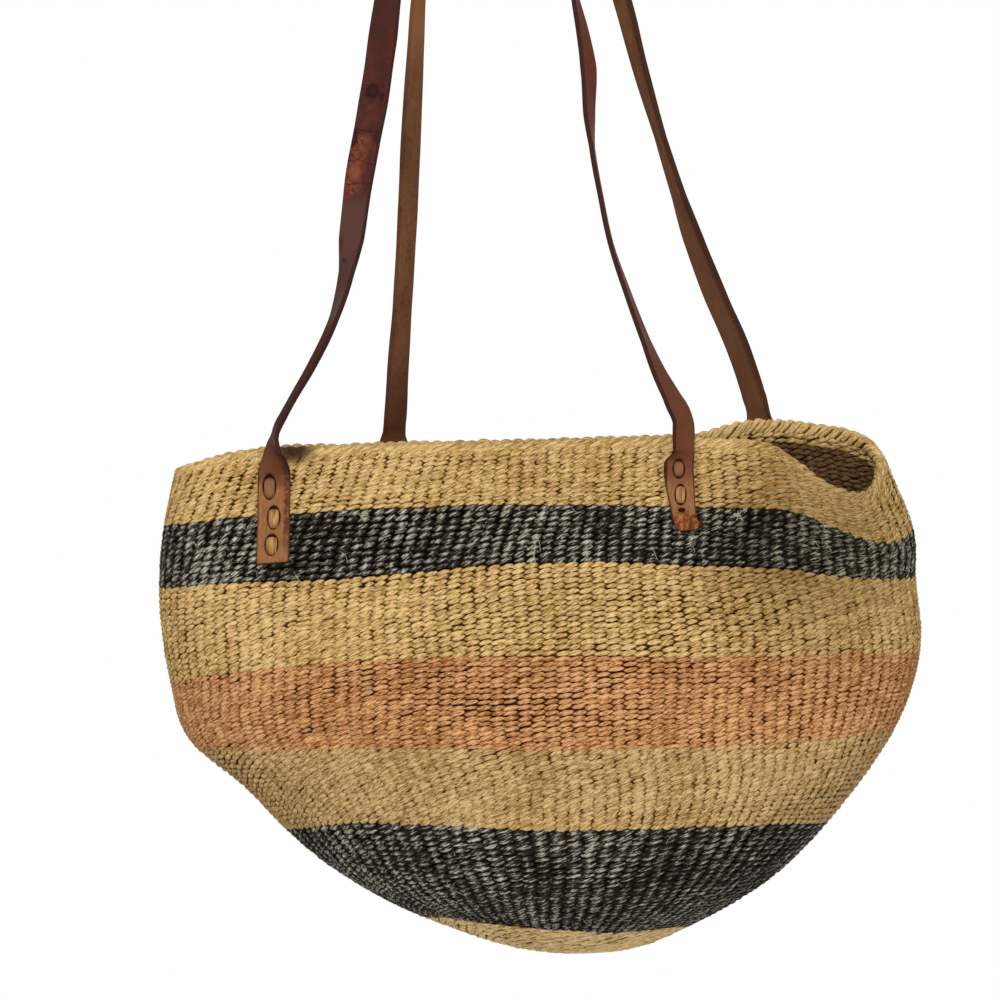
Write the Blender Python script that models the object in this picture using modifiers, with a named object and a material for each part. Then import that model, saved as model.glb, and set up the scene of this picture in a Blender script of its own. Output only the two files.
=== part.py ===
"""A woven sisal basket with two leather shoulder straps, hanging by the straps.

Lengths are in metres. +X is to the right of the front, +Y is to the back and +Z is up.
The origin is the hang point, under the crowns of the two straps.
"""

import math

import bmesh
import bpy
import numpy as np
from mathutils import Matrix, Vector

# Basket wall, measured on its outer skin
BASKET_WIDTH = 0.411
BASKET_HEIGHT = 0.276
BASKET_DEPTH = 0.252
BASE_DROP = 0.5805  # from the hang point down to the base
BASKET_OFFSET = 0.019  # from the hang point to the middle of the basket
WALL = 0.0055
BAND_GAP = 0.0003
MOUTH_BULGE = 0.0145  # how far each wall bows out around the open end of the mouth
FRONT_DIP = 0.0215  # how far the front rim sinks below the open end
BACK_LIFT = 0.010  # how far the back rim rises there

# Rolled edge of the mouth
RIM_HEIGHT = 0.0065
RIM_THICKNESS = 0.0066

# Straps
STRAP_WIDTH = 0.0175
STRAP_THICKNESS = 0.0026
CROWN_SPACING = 0.020  # between the middles of the two crowns, side by side on a hook
TAB_CLEARANCE = 0.0006
FOLD_GAP = 0.0006  # between a tab and the loop that bends away from it
HINGE_STANDOFF = 0.0035  # from the middle of the leather out to the line it bends about
TAB_LEAN_SHARE = 0.4  # slope at which a tab has left the wall by its fold
STRAP_STEP = 0.005

# Laces and the slots that they run through
LACE_WIDTH = 0.0056
LACE_THICKNESS = 0.0016
LACE_CORNER = 0.0013
LACE_CLEARANCE = 0.0004
LACE_TAIL_LENGTH = 0.0045
CUT_OVERRUN = 0.002
STITCHES = 3

# How finely the wall and the turns of a lace are faceted, and where shading has an edge
COLUMNS = 56
COLUMN_CROWDING_SHARE = 0.5  # 0 spaces the columns evenly, more crowds them into the round ends
OUTLINE_POINTS = 240
TRACE_ROWS = 120
DISC_ROWS = 3
LACE_TURN_POINTS = 5
SHARP_ANGLE = math.radians(50)

# Each course of the wall where its form turns: the left and right ends and the depth are
# shares of the basket's half width and half depth, the round end is a share of the course's
# own half width, and the heights are shares of the basket's height. The last value says how
# much of the mouth's open end the course takes up.
HEIGHT_PLACE_SHARES = (-1.0, -0.85, -0.5, 0.0, 0.5, 0.85, 1.0)
COURSE_SHARES = (
    ("base_edge", -0.015, 0.199, 0.175, 1.00, (0, 0, 0, 0, 0, 0, 0), 0.0),
    ("disc_edge", -0.310, 0.394, 0.540, 1.00, (0.067, 0.072, 0.067, 0.057, 0.050, 0.053, 0.049), 0.0),
    ("bowl_side", -0.523, 0.606, 0.825, 1.00, (0.152, 0.150, 0.145, 0.139, 0.140, 0.143, 0.143), 0.0),
    ("dark_top", -0.669, 0.757, 1.000, 1.00, (0.239, 0.260, 0.272, 0.265, 0.267, 0.263, 0.254), 0.0),
    ("natural_middle", -0.791, 0.869, 0.948, 1.00, (0.330, 0.343, 0.357, 0.351, 0.358, 0.359, 0.361), 0.0),
    ("natural_top", -0.900, 0.930, 0.870, 1.00, (0.395, 0.402, 0.417, 0.415, 0.422, 0.427, 0.434), 0.0),
    ("rust_top", -0.971, 0.996, 0.665, 0.74, (0.528, 0.550, 0.581, 0.593, 0.588, 0.590, 0.582), 0.0),
    ("middle_top", -1.000, 0.985, 0.435, 0.47, (0.709, 0.722, 0.738, 0.767, 0.760, 0.745, 0.732), 0.2),
    ("upper_dark_top", -0.987, 0.978, 0.238, 0.22, (0.831, 0.847, 0.866, 0.876, 0.870, 0.854, 0.826), 0.6),
    ("rim_top", -0.955, 0.901, 0.123, 0.126, (0.945, 0.975, 0.992, 1.000, 1.007, 0.988, 0.967), 1.0),
)
BULGE_RAMP_SHARES = (0.55, 0.80)
DIP_RAMP_SHARES = (0.62, 0.90)
LIFT_RAMP_SHARES = (0.42, 0.65)

# The rolled edge in section: height and half thickness
RIM_SECTION_SHARES = ((0.0, 0.70), (0.2, 0.96), (0.5, 1.0), (0.8, 0.90), (1.0, 0.50))

# Strap ends, in the order of a strap's run: how far down the wall from the top of the rim the
# fold lies, the length of the tab from there down, then the middle of its first lace stitch,
# the step to the next and a stitch's length. The shares say where across the half width of
# the basket each one is.
FRONT_TABS = {
    "front_left": (0.0072, 0.0630, 0.0172, 0.0175, 0.0120),
    "front_right": (0.0087, 0.0495, 0.0125, 0.0140, 0.0090),
}
BACK_TABS = {
    "back_left": (0.0061, 0.0660, 0.0180, 0.0180, 0.0120),
    "back_right": (0.0066, 0.0660, 0.0200, 0.0180, 0.0120),
}
TAB_PLACE_SHARES = (
    ("front_left", -0.696),
    ("front_right", 0.372),
    ("back_left", -0.384),
    ("back_right", 0.589),
)

# The run of each loop from its left fold over the crown to its right fold: across from fold
# to fold, up from the folds to the crown, in from the folds' plane to the crown's plane, and
# the angle in degrees that the leather is rolled about its own run
FRONT_LOOP_SHARES = (
    (0.000, 0.000, 0.00, 0),
    (0.000, 0.016, -0.05, -22),
    (0.001, 0.030, -0.10, -55),
    (0.008, 0.048, -0.08, -76),
    (0.024, 0.070, -0.04, -83),
    (0.047, 0.099, 0.00, -83),
    (0.090, 0.150, 0.12, -81),
    (0.149, 0.237, 0.25, -79),
    (0.178, 0.314, 0.35, -66),
    (0.189, 0.369, 0.40, -44),
    (0.206, 0.460, 0.50, -36),
    (0.243, 0.603, 0.65, -29),
    (0.265, 0.711, 0.80, -32),
    (0.279, 0.782, 0.90, -40),
    (0.302, 0.868, 1.00, -60),
    (0.356, 0.950, 1.00, -82),
    (0.434, 0.989, 1.00, -90),
    (0.514, 1.000, 1.00, -90),
    (0.592, 0.988, 1.00, -90),
    (0.671, 0.946, 1.00, -88),
    (0.720, 0.868, 0.97, -85),
    (0.736, 0.782, 0.90, -83),
    (0.752, 0.731, 0.85, -75),
    (0.768, 0.663, 0.75, -66),
    (0.771, 0.577, 0.65, -75),
    (0.777, 0.526, 0.60, -87),
    (0.798, 0.441, 0.50, -88),
    (0.824, 0.355, 0.42, -88),
    (0.865, 0.270, 0.35, -84),
    (0.909, 0.188, 0.25, -80),
    (0.944, 0.130, 0.12, -70),
    (0.974, 0.089, 0.00, -63),
    (1.000, 0.048, -0.06, -52),
    (1.001, 0.022, -0.03, -22),
    (1.000, 0.000, 0.00, 0),
)
BACK_LOOP_SHARES = (
    (0.000, 0.000, 0.00, 0),
    (0.000, 0.024, -0.10, 34),
    (0.004, 0.060, -0.08, 52),
    (0.010, 0.128, 0.05, 55),
    (0.023, 0.240, 0.25, 60),
    (0.034, 0.365, 0.45, 59),
    (0.050, 0.573, 0.75, 59),
    (0.061, 0.707, 0.90, 66),
    (0.068, 0.780, 1.00, 71),
    (0.090, 0.866, 1.00, 78),
    (0.155, 0.949, 1.00, 86),
    (0.247, 0.989, 1.00, 90),
    (0.344, 1.000, 1.00, 90),
    (0.445, 0.988, 1.00, 90),
    (0.527, 0.946, 1.00, 86),
    (0.576, 0.865, 1.00, 72),
    (0.621, 0.775, 1.00, 62),
    (0.670, 0.652, 0.90, 68),
    (0.727, 0.527, 0.75, 76),
    (0.779, 0.419, 0.60, 70),
    (0.815, 0.348, 0.50, 58),
    (0.878, 0.241, 0.35, 50),
    (0.939, 0.149, 0.15, 50),
    (0.981, 0.065, -0.08, 50),
    (0.995, 0.030, -0.10, 25),
    (1.000, 0.000, 0.00, 0),
)

# Colours and roughness of the dyed yarns and of the leather
NATURAL_SISAL = ((0.50, 0.34, 0.16), 0.85)
PALE_SISAL = ((0.55, 0.38, 0.19), 0.85)
RUST_SISAL = ((0.45, 0.22, 0.10), 0.85)
DARK_SISAL = ((0.035, 0.037, 0.033), 0.80)
GRAIN_LEATHER = ((0.095, 0.030, 0.018), 0.40)
FLESH_LEATHER = ((0.14, 0.065, 0.030), 0.60)
TAB_LEATHER = ((0.29, 0.11, 0.045), 0.50)
LACE_LEATHER = ((0.42, 0.25, 0.12), 0.60)

# The bands of yarn above the base disc: the courses that each one runs between, its rows of
# facets and its yarn. The last one ends under the rolled edge instead.
BANDS = (
    ("lower_dark_band", "disc_edge", "dark_top", 5, DARK_SISAL),
    ("lower_natural_band", "dark_top", "natural_top", 3, NATURAL_SISAL),
    ("rust_band", "natural_top", "rust_top", 3, RUST_SISAL),
    ("middle_natural_band", "rust_top", "middle_top", 3, NATURAL_SISAL),
    ("upper_dark_band", "middle_top", "upper_dark_top", 3, DARK_SISAL),
    ("upper_natural_band", "upper_dark_top", "rim_top", 3, NATURAL_SISAL),
)
LACED_BANDS = ("upper_dark_band", "upper_natural_band")


def clear_scene():
    for scene_object in list(bpy.data.objects):
        bpy.data.objects.remove(scene_object)


def new_collection(name):
    collection = bpy.data.collections.new(name)
    bpy.context.scene.collection.children.link(collection)
    return collection


def material(name, finish):
    colour, roughness = finish
    made = bpy.data.materials.new(name)
    made.use_nodes = True
    shader = made.node_tree.nodes["Principled BSDF"]
    shader.inputs["Base Color"].default_value = (*colour, 1)
    shader.inputs["Roughness"].default_value = roughness
    made.diffuse_color = (*colour, 1)
    return made


def smooth_curve(knots, values, places):
    """Reads a smooth curve, which runs through the values at the knots, at some places."""
    values = np.asarray(values, float)
    slopes = np.gradient(values, knots, axis=0)
    low = np.clip(np.searchsorted(knots, places) - 1, 0, len(knots) - 2)
    span = (knots[low + 1] - knots[low]).reshape(-1, *[1] * (values.ndim - 1))
    t = (places - knots[low]).reshape(span.shape) / span
    ease = t * t * (3 - 2 * t)
    return (
        values[low] * (1 - ease)
        + values[low + 1] * ease
        + slopes[low] * span * t * (1 - t) ** 2
        - slopes[low + 1] * span * t * t * (1 - t)
    )


def ramp(values, ends):
    """Climbs smoothly from 0 at the first end to 1 at the second."""
    t = np.clip((values - ends[0]) / (ends[1] - ends[0]), 0, 1)
    return t * t * (3 - 2 * t)


def unit(vectors):
    return vectors / np.linalg.norm(vectors, axis=-1, keepdims=True)


def distances(points):
    """How far along a line each of its points lies."""
    steps = np.linalg.norm(np.diff(points, axis=0), axis=-1)
    return np.concatenate([[0.0], np.cumsum(steps)])


def column_places():
    """Places around a course from 0 to 1, closer together at its two round ends."""
    even = np.arange(COLUMNS) / COLUMNS
    return even - COLUMN_CROWDING_SHARE * np.sin(4 * math.pi * even) / (4 * math.pi)


def course_ring(course):
    """The points of one course, from its right end round the back to the left end and home."""
    _, left_share, right_share, depth_share, end_share, height_shares, open_share = course
    middle = BASKET_OFFSET + (left_share + right_share) * BASKET_WIDTH / 4
    half_width = (right_share - left_share) * BASKET_WIDTH / 4
    half_depth = depth_share * BASKET_DEPTH / 2
    end = end_share * half_width
    turn = np.linspace(0, math.pi / 2, OUTLINE_POINTS)
    end_x = half_width - end + end * np.cos(turn)
    straight = np.linspace(end_x[-1], -end_x[-1], OUTLINE_POINTS)
    x = np.concatenate([end_x, straight, -end_x[::-1]])
    side = np.concatenate([np.sin(turn), np.ones(OUTLINE_POINTS), np.sin(turn)[::-1]])
    x = np.concatenate([x, x[-2:0:-1]])
    side = np.concatenate([side, -side[-2:0:-1]])
    place = x / half_width
    bulge = open_share * MOUTH_BULGE * ramp(place, BULGE_RAMP_SHARES)
    dip = open_share * FRONT_DIP * ramp(place, DIP_RAMP_SHARES) * ramp(-side, (0, 1))
    lift = open_share * BACK_LIFT * ramp(place, LIFT_RAMP_SHARES) * ramp(side, (0, 1))
    heights = smooth_curve(np.array(HEIGHT_PLACE_SHARES), height_shares, place) * BASKET_HEIGHT
    ring = np.stack([middle + x, side * (half_depth + bulge), heights - BASE_DROP - dip + lift], axis=1)
    ring = np.concatenate([ring, ring[:1]])
    around = distances(ring)
    wanted = column_places() * around[-1]
    return np.stack([np.interp(wanted, around, ring[:, axis]) for axis in range(3)], axis=1)


class Wall:
    """The outer skin of the basket, smooth from the middle of the base up to the rim."""

    def __init__(self):
        rings = [course_ring(course) for course in COURSE_SHARES]
        pole = np.broadcast_to(rings[0].mean(axis=0), rings[0].shape)
        self.keys = np.stack([pole, *rings])
        steps = np.linalg.norm(np.diff(self.keys, axis=0), axis=-1).mean(axis=1)
        self.knots = np.concatenate([[0.0], np.cumsum(steps)])
        self.names = [course[0] for course in COURSE_SHARES]

    def height_of(self, name):
        """How far up the wall from the middle of the base a named course lies."""
        return self.knots[1 + self.names.index(name)]

    def ring(self, up):
        return smooth_curve(self.knots, self.keys, np.array([up]))[0]

    def normals(self, up):
        """The directions straight out of the wall all round a ring."""
        span = self.knots[-1] / TRACE_ROWS
        low, high = max(up - span, self.knots[1]), min(up + span, self.knots[-1])
        rise = self.ring(high) - self.ring(low)
        ring = self.ring(up)
        around = np.roll(ring, -1, axis=0) - np.roll(ring, 1, axis=0)
        return unit(np.cross(around, rise))

    def trace(self, x, front):
        """A line up the wall at one place across it, and the normals along it."""
        half = slice(COLUMNS // 2, COLUMNS) if front else slice(0, COLUMNS // 2)
        points, normals = [], []
        for up in np.linspace(self.height_of("rust_top"), self.knots[-1], TRACE_ROWS):
            ring = self.ring(up)[half]
            normal = self.normals(up)[half]
            order = np.argsort(ring[:, 0])
            across = ring[order, 0]
            points.append([np.interp(x, across, ring[order, axis]) for axis in range(3)])
            normals.append([np.interp(x, across, normal[order, axis]) for axis in range(3)])
        return np.array(points), unit(np.array(normals))


def add_object(name, mesh, collection, finish, origin=(0, 0, 0)):
    """Adds a mesh as a named object, with its origin at a given place."""
    mesh.transform(Matrix.Translation(-Vector(origin)))
    made = bpy.data.objects.new(name, mesh)
    made.location = origin
    collection.objects.link(made)
    if finish:
        mesh.materials.append(material(name, finish))
    return made


def lofted_ring(name, rows, wall, collection, finish, closed_floor=False):
    """Lofts a band of the wall from rows of height up the wall and half thickness there."""
    outer, inner = [], []
    for up, half_thickness in rows:
        ring, normal = wall.ring(up), wall.normals(up)
        outer.append(ring + normal * (half_thickness - WALL / 2))
        inner.append(ring - normal * (half_thickness + WALL / 2))
    mesh = bmesh.new()
    rings = [[mesh.verts.new(point) for point in ring] for ring in outer + inner[::-1]]
    for i in range(COLUMNS):
        j = (i + 1) % COLUMNS
        for low, high in zip(rings, rings[1:]):
            mesh.faces.new((low[i], low[j], high[j], high[i]))
        if not closed_floor:  # split along the same diagonal as the band below, whose edge it faces
            low, high = rings[-1], rings[0]
            mesh.faces.new((low[j], high[j], high[i], low[i]))
    if closed_floor:
        mesh.faces.new(rings[0][::-1])
        mesh.faces.new(rings[-1])
    bmesh.ops.triangulate(mesh, faces=mesh.faces, quad_method="FIXED")
    data = bpy.data.meshes.new(name)
    mesh.to_mesh(data)
    mesh.free()
    data.shade_smooth()
    data.set_sharp_from_angle(angle=SHARP_ANGLE)
    return add_object(name, data, collection, finish)


def make_basket(wall, collection):
    """The disc that the weaving starts from, the bands of yarn above it and the rolled edge."""
    top = wall.height_of
    rim_low = top("rim_top") - RIM_HEIGHT
    disc_rows = np.linspace(top("base_edge"), top("disc_edge") - BAND_GAP / 2, DISC_ROWS + 1)
    disc = [(up, WALL / 2) for up in disc_rows]
    lofted_ring("base_disc", disc, wall, collection, PALE_SISAL, closed_floor=True)
    bands = {}
    for name, low, high, cells, yarn in BANDS:
        low, high = top(low), min(top(high), rim_low)
        rows = np.linspace(low + BAND_GAP / 2, high - BAND_GAP / 2, cells + 1)
        bands[name] = lofted_ring(name, [(up, WALL / 2) for up in rows], wall, collection, yarn)
    low, high = rim_low + BAND_GAP / 2, top("rim_top")
    rim = [(low + (high - low) * up, half * RIM_THICKNESS / 2) for up, half in RIM_SECTION_SHARES]
    lofted_ring("rim_braid", rim, wall, collection, PALE_SISAL)
    return [bands[name] for name in LACED_BANDS]


def strip(name, middles, sideways, width, thickness, collection, finish, origin=(0, 0, 0)):
    """A flat strip of leather along a run of middles, each with its own sideways direction."""
    mesh = bmesh.new()
    edges = [
        [mesh.verts.new(middle + side * direction * width / 2) for side in (-1, 1)]
        for middle, direction in zip(middles, sideways)
    ]
    for (a, b), (c, d) in zip(edges, edges[1:]):
        mesh.faces.new((a, b, d, c))
    data = bpy.data.meshes.new(name)
    mesh.to_mesh(data)
    mesh.free()
    made = add_object(name, data, collection, finish, origin)
    shell = made.modifiers.new("Thickness", "SOLIDIFY")
    shell.thickness = thickness
    shell.offset = 0
    shell.use_even_offset = True
    return made


class TabSeat:
    """The line up the wall that a strap end lies along, measured down from its fold."""

    def __init__(self, wall, x, fold, first_slot, front):
        points, normals = wall.trace(x, front)
        self.first_slot = first_slot
        above = points[-1] + unit(points[-1] - points[-2]) * STRAP_WIDTH
        self.points = np.concatenate([[above], points[::-1]])
        self.normals = np.concatenate([normals[-1:], normals[::-1]])
        self.down = distances(self.points) - STRAP_WIDTH - fold

    def read(self, values, down):
        return np.array([np.interp(down, self.down, values[:, axis]) for axis in range(3)])

    def frame(self, down):
        """Origin, outward normal, sideways and downward directions at a distance down."""
        step = STRAP_STEP / 2
        along = unit(self.read(self.points, down + step) - self.read(self.points, down - step))
        normal = self.read(self.normals, down)
        normal = unit(normal - along * np.dot(normal, along))
        return self.read(self.points, down), normal, np.cross(along, normal), along

    def place(self, down, out):
        origin, normal, sideways, _ = self.frame(down)
        return origin + normal * out, sideways

    def leather(self, down, standoff=0.0):
        """The middle of the tab's leather, which leaves the wall above its first slot."""
        free = max(self.first_slot - down, 0.0)
        lean = TAB_LEAN_SHARE * free * free / (2 * self.first_slot)
        rim_proud = (RIM_THICKNESS - WALL) / 2
        return self.place(down, rim_proud + TAB_CLEARANCE + STRAP_THICKNESS / 2 + lean + standoff)

    def pull(self):
        """The direction in which the leather leaves the tab at its fold, upwards."""
        return unit(self.leather(0)[0] - self.leather(STRAP_THICKNESS)[0])


def tab_face():
    """How far the outer face of a tab stands off the skin of the wall where it lies on it."""
    return (RIM_THICKNESS - WALL) / 2 + TAB_CLEARANCE + STRAP_THICKNESS


def lace_points(first, step, length):
    """The lace in section, as distances down the wall and out of it: it starts inside, comes
    out through the top slot and runs in and out down the tab, and ends inside."""
    out = tab_face() + LACE_CLEARANCE + LACE_THICKNESS / 2
    inside = -WALL - LACE_CLEARANCE - LACE_THICKNESS / 2
    slots = lace_slots(first, step, length)
    points = [(slots[0] - LACE_TAIL_LENGTH, inside)]
    level, other = inside, out
    for slot in slots:
        for near, far in ((level, other), (other, level)):
            entering = near == level
            away = 1 if far > near else -1
            for turn in np.linspace(0, math.pi / 2, LACE_TURN_POINTS):
                along = math.sin(turn) if entering else 1 - math.cos(turn)
                rise = 1 - math.cos(turn) if entering else math.sin(turn)
                if entering:
                    down = slot - LACE_CORNER + LACE_CORNER * along
                    level_out = near + away * LACE_CORNER * rise
                else:
                    down = slot + LACE_CORNER * along
                    level_out = near + away * LACE_CORNER * (1 - rise)
                points.append((down, level_out))
        level, other = other, level
    points.append((slots[-1] + LACE_TAIL_LENGTH, inside))
    return points


def lace_slots(first, step, length):
    """The distances down the wall of the slots at the two ends of each stitch."""
    middles = [first + i * step for i in range(STITCHES)]
    return [middle + side * length / 2 for middle in middles for side in (-1, 1)]


def slot_cutter(name, seat, slots, collection):
    """Boxes that cut the slots of one strap end through its leather and through the wall."""
    width = LACE_WIDTH + 2 * LACE_CLEARANCE
    height = LACE_THICKNESS + 2 * LACE_CLEARANCE
    low = -WALL - CUT_OVERRUN
    high = tab_face() + CUT_OVERRUN
    mesh = bmesh.new()
    for slot in slots:
        origin, normal, sideways, along = seat.frame(slot)
        centre = origin + normal * (low + high) / 2
        axes = np.array([sideways * width, along * height, normal * (high - low)]).T
        place = Matrix.Translation(centre) @ Matrix(axes.tolist()).to_4x4()
        bmesh.ops.create_cube(mesh, size=1, matrix=place)
    bmesh.ops.recalc_face_normals(mesh, faces=mesh.faces)
    data = bpy.data.meshes.new(name)
    mesh.to_mesh(data)
    mesh.free()
    cutter = add_object(name, data, collection, None)
    cutter.hide_render = True
    cutter.display_type = "WIRE"
    return cutter


def cut(target, cutter):
    boolean = target.modifiers.new(cutter.name, "BOOLEAN")
    boolean.operation = "DIFFERENCE"
    boolean.object = cutter


def make_strap_end(name, sizes, front, wall, laced_bands, collection, cutters):
    """A tab on the wall with its lace, and the slots through both. Returns the tab's seat."""
    fold, length, first, step, stitch = sizes
    x = BASKET_OFFSET + dict(TAB_PLACE_SHARES)[name] * BASKET_WIDTH / 2
    slots = lace_slots(first, step, stitch)
    seat = TabSeat(wall, x, fold, slots[0], front)
    rows = max(2, round(length / STRAP_STEP))
    run = [seat.leather(down) for down in np.linspace(FOLD_GAP / 2, length, rows + 1)]
    middles, sideways = zip(*run)
    tab = strip(
        f"{name}_tab", middles, sideways, STRAP_WIDTH, STRAP_THICKNESS, collection, TAB_LEATHER
    )
    lace_run = [seat.place(down, out) for down, out in lace_points(first, step, stitch)]
    middles, sideways = zip(*lace_run)
    strip(f"{name}_lace", middles, sideways, LACE_WIDTH, LACE_THICKNESS, collection, LACE_LEATHER)
    cutter = slot_cutter(f"{name}_slots", seat, slots, cutters)
    for target in (tab, *laced_bands):
        cut(target, cutter)
    return seat


def make_loop(name, seats, shares, front, collection, finish):
    """A strap's free loop from fold to fold over the crown, hung on its bending line."""
    folds = [seat.leather(0)[0] for seat in seats]
    outward = -1 if front else 1
    crown = np.array([0, outward * CROWN_SPACING / 2, STRAP_THICKNESS / 2])
    controls = []
    for across, up, inward, _ in shares:
        low = folds[0] + (folds[1] - folds[0]) * across
        depth = low[1] + (crown[1] - low[1]) * inward
        controls.append((low[0], depth, low[2] + (crown[2] - low[2]) * up))
    for index, fold, seat in ((1, folds[0], seats[0]), (-1, folds[1], seats[1])):
        controls.insert(index, fold + seat.pull() * STRAP_THICKNESS)
    controls = np.array(controls)
    knots = distances(controls)
    places = np.linspace(FOLD_GAP / 2, knots[-1] - FOLD_GAP / 2, round(knots[-1] / STRAP_STEP))
    middles = smooth_curve(knots, controls, places)
    angles = [0, *[row[3] for row in shares], 0]
    rolls = np.radians(np.interp(places, knots, angles))
    along = unit(np.gradient(middles, places, axis=0))
    back = np.array([0.0, 1.0, 0.0]) - along * along[:, 1:2]
    back = unit(back)
    across = np.cross(back, along)
    sideways = np.cos(rolls)[:, None] * across + np.sin(rolls)[:, None] * back
    hinge_points = [seat.leather(0, HINGE_STANDOFF)[0] for seat in seats]
    hinge = (hinge_points[0] + hinge_points[1]) / 2
    strip(name, middles, sideways, STRAP_WIDTH, STRAP_THICKNESS, collection, finish, hinge)
    axis = unit(hinge_points[1] - hinge_points[0])
    print(f"{name}: runs {distances(middles)[-1]:.4f} m, hinge {hinge.round(5)}, axis {axis.round(5)}")


def make_strap(side, tabs, shares, front, wall, laced_bands, collection, cutters, finish):
    seats = [
        make_strap_end(name, sizes, front, wall, laced_bands, collection, cutters)
        for name, sizes in tabs.items()
    ]
    make_loop(f"{side}_strap", seats, shares, front, collection, finish)


def make_basket_and_straps():
    clear_scene()
    collection = new_collection("kiondo basket")
    cutters = new_collection("cutters")
    wall = Wall()
    laced_bands = make_basket(wall, collection)
    make_strap(
        "front", FRONT_TABS, FRONT_LOOP_SHARES, True, wall, laced_bands, collection, cutters, GRAIN_LEATHER
    )
    make_strap(
        "back", BACK_TABS, BACK_LOOP_SHARES, False, wall, laced_bands, collection, cutters, FLESH_LEATHER
    )


make_basket_and_straps()
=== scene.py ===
import math

import bpy
import numpy as np
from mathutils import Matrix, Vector


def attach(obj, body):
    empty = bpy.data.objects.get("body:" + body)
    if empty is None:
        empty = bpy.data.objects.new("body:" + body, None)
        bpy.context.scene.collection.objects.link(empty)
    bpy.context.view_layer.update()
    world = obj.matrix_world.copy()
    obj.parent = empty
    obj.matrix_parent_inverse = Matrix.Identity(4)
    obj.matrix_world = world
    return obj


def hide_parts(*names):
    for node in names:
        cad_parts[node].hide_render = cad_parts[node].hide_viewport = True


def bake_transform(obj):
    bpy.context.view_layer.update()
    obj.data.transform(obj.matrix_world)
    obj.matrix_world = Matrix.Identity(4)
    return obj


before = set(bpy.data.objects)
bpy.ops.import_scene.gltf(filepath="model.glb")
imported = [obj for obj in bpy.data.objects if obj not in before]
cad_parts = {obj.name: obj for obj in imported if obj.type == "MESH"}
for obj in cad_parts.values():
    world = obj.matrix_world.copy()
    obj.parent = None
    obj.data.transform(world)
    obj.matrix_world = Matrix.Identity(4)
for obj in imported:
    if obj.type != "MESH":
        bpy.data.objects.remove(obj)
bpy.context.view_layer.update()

# The photograph: real metres in one of its pixels, and where its middle lies
METRES_PER_PIXEL = 0.00054
PICTURE_PIXELS = 1000
VIEW_CENTRE = (-0.0027, 0.0, -0.3375)
VIEW_ELEVATION = math.radians(2.5)
VIEW_DISTANCE = 6.0
SENSOR = 36.0
FLOOR_DROP = 0.78

# Basket wall, measured on its outer skin, as the solids have it
BASKET_WIDTH = 0.411
BASKET_HEIGHT = 0.276
BASKET_DEPTH = 0.252
BASE_DROP = 0.5805
BASKET_OFFSET = 0.019
WALL = 0.0055
MOUTH_BULGE = 0.0145
FRONT_DIP = 0.0215
BACK_LIFT = 0.010
RIM_HEIGHT = 0.0065
RIM_THICKNESS = 0.0066
HEIGHT_PLACE_SHARES = (-1.0, -0.85, -0.5, 0.0, 0.5, 0.85, 1.0)
COURSE_SHARES = (
    ("base_edge", -0.015, 0.199, 0.175, 1.00, (0, 0, 0, 0, 0, 0, 0), 0.0),
    ("disc_edge", -0.310, 0.394, 0.540, 1.00, (0.067, 0.072, 0.067, 0.057, 0.050, 0.053, 0.049), 0.0),
    ("bowl_side", -0.523, 0.606, 0.825, 1.00, (0.152, 0.150, 0.145, 0.139, 0.140, 0.143, 0.143), 0.0),
    ("dark_top", -0.669, 0.757, 1.000, 1.00, (0.239, 0.260, 0.272, 0.265, 0.267, 0.263, 0.254), 0.0),
    ("natural_middle", -0.791, 0.869, 0.948, 1.00, (0.330, 0.343, 0.357, 0.351, 0.358, 0.359, 0.361), 0.0),
    ("natural_top", -0.900, 0.930, 0.870, 1.00, (0.395, 0.402, 0.417, 0.415, 0.422, 0.427, 0.434), 0.0),
    ("rust_top", -0.971, 0.996, 0.665, 0.74, (0.528, 0.550, 0.581, 0.593, 0.588, 0.590, 0.582), 0.0),
    ("middle_top", -1.000, 0.985, 0.435, 0.47, (0.709, 0.722, 0.738, 0.767, 0.760, 0.745, 0.732), 0.2),
    ("upper_dark_top", -0.987, 0.978, 0.238, 0.22, (0.831, 0.847, 0.866, 0.876, 0.870, 0.854, 0.826), 0.6),
    ("rim_top", -0.955, 0.901, 0.123, 0.126, (0.945, 0.975, 0.992, 1.000, 1.007, 0.988, 0.967), 1.0),
)
BULGE_RAMP_SHARES = (0.55, 0.80)
DIP_RAMP_SHARES = (0.62, 0.90)
LIFT_RAMP_SHARES = (0.42, 0.65)
OUTLINE_POINTS = 240
COLUMN_CROWDING = 0.5
SKIN_COLUMNS = 448
SKIN_ROWS = 400

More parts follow.
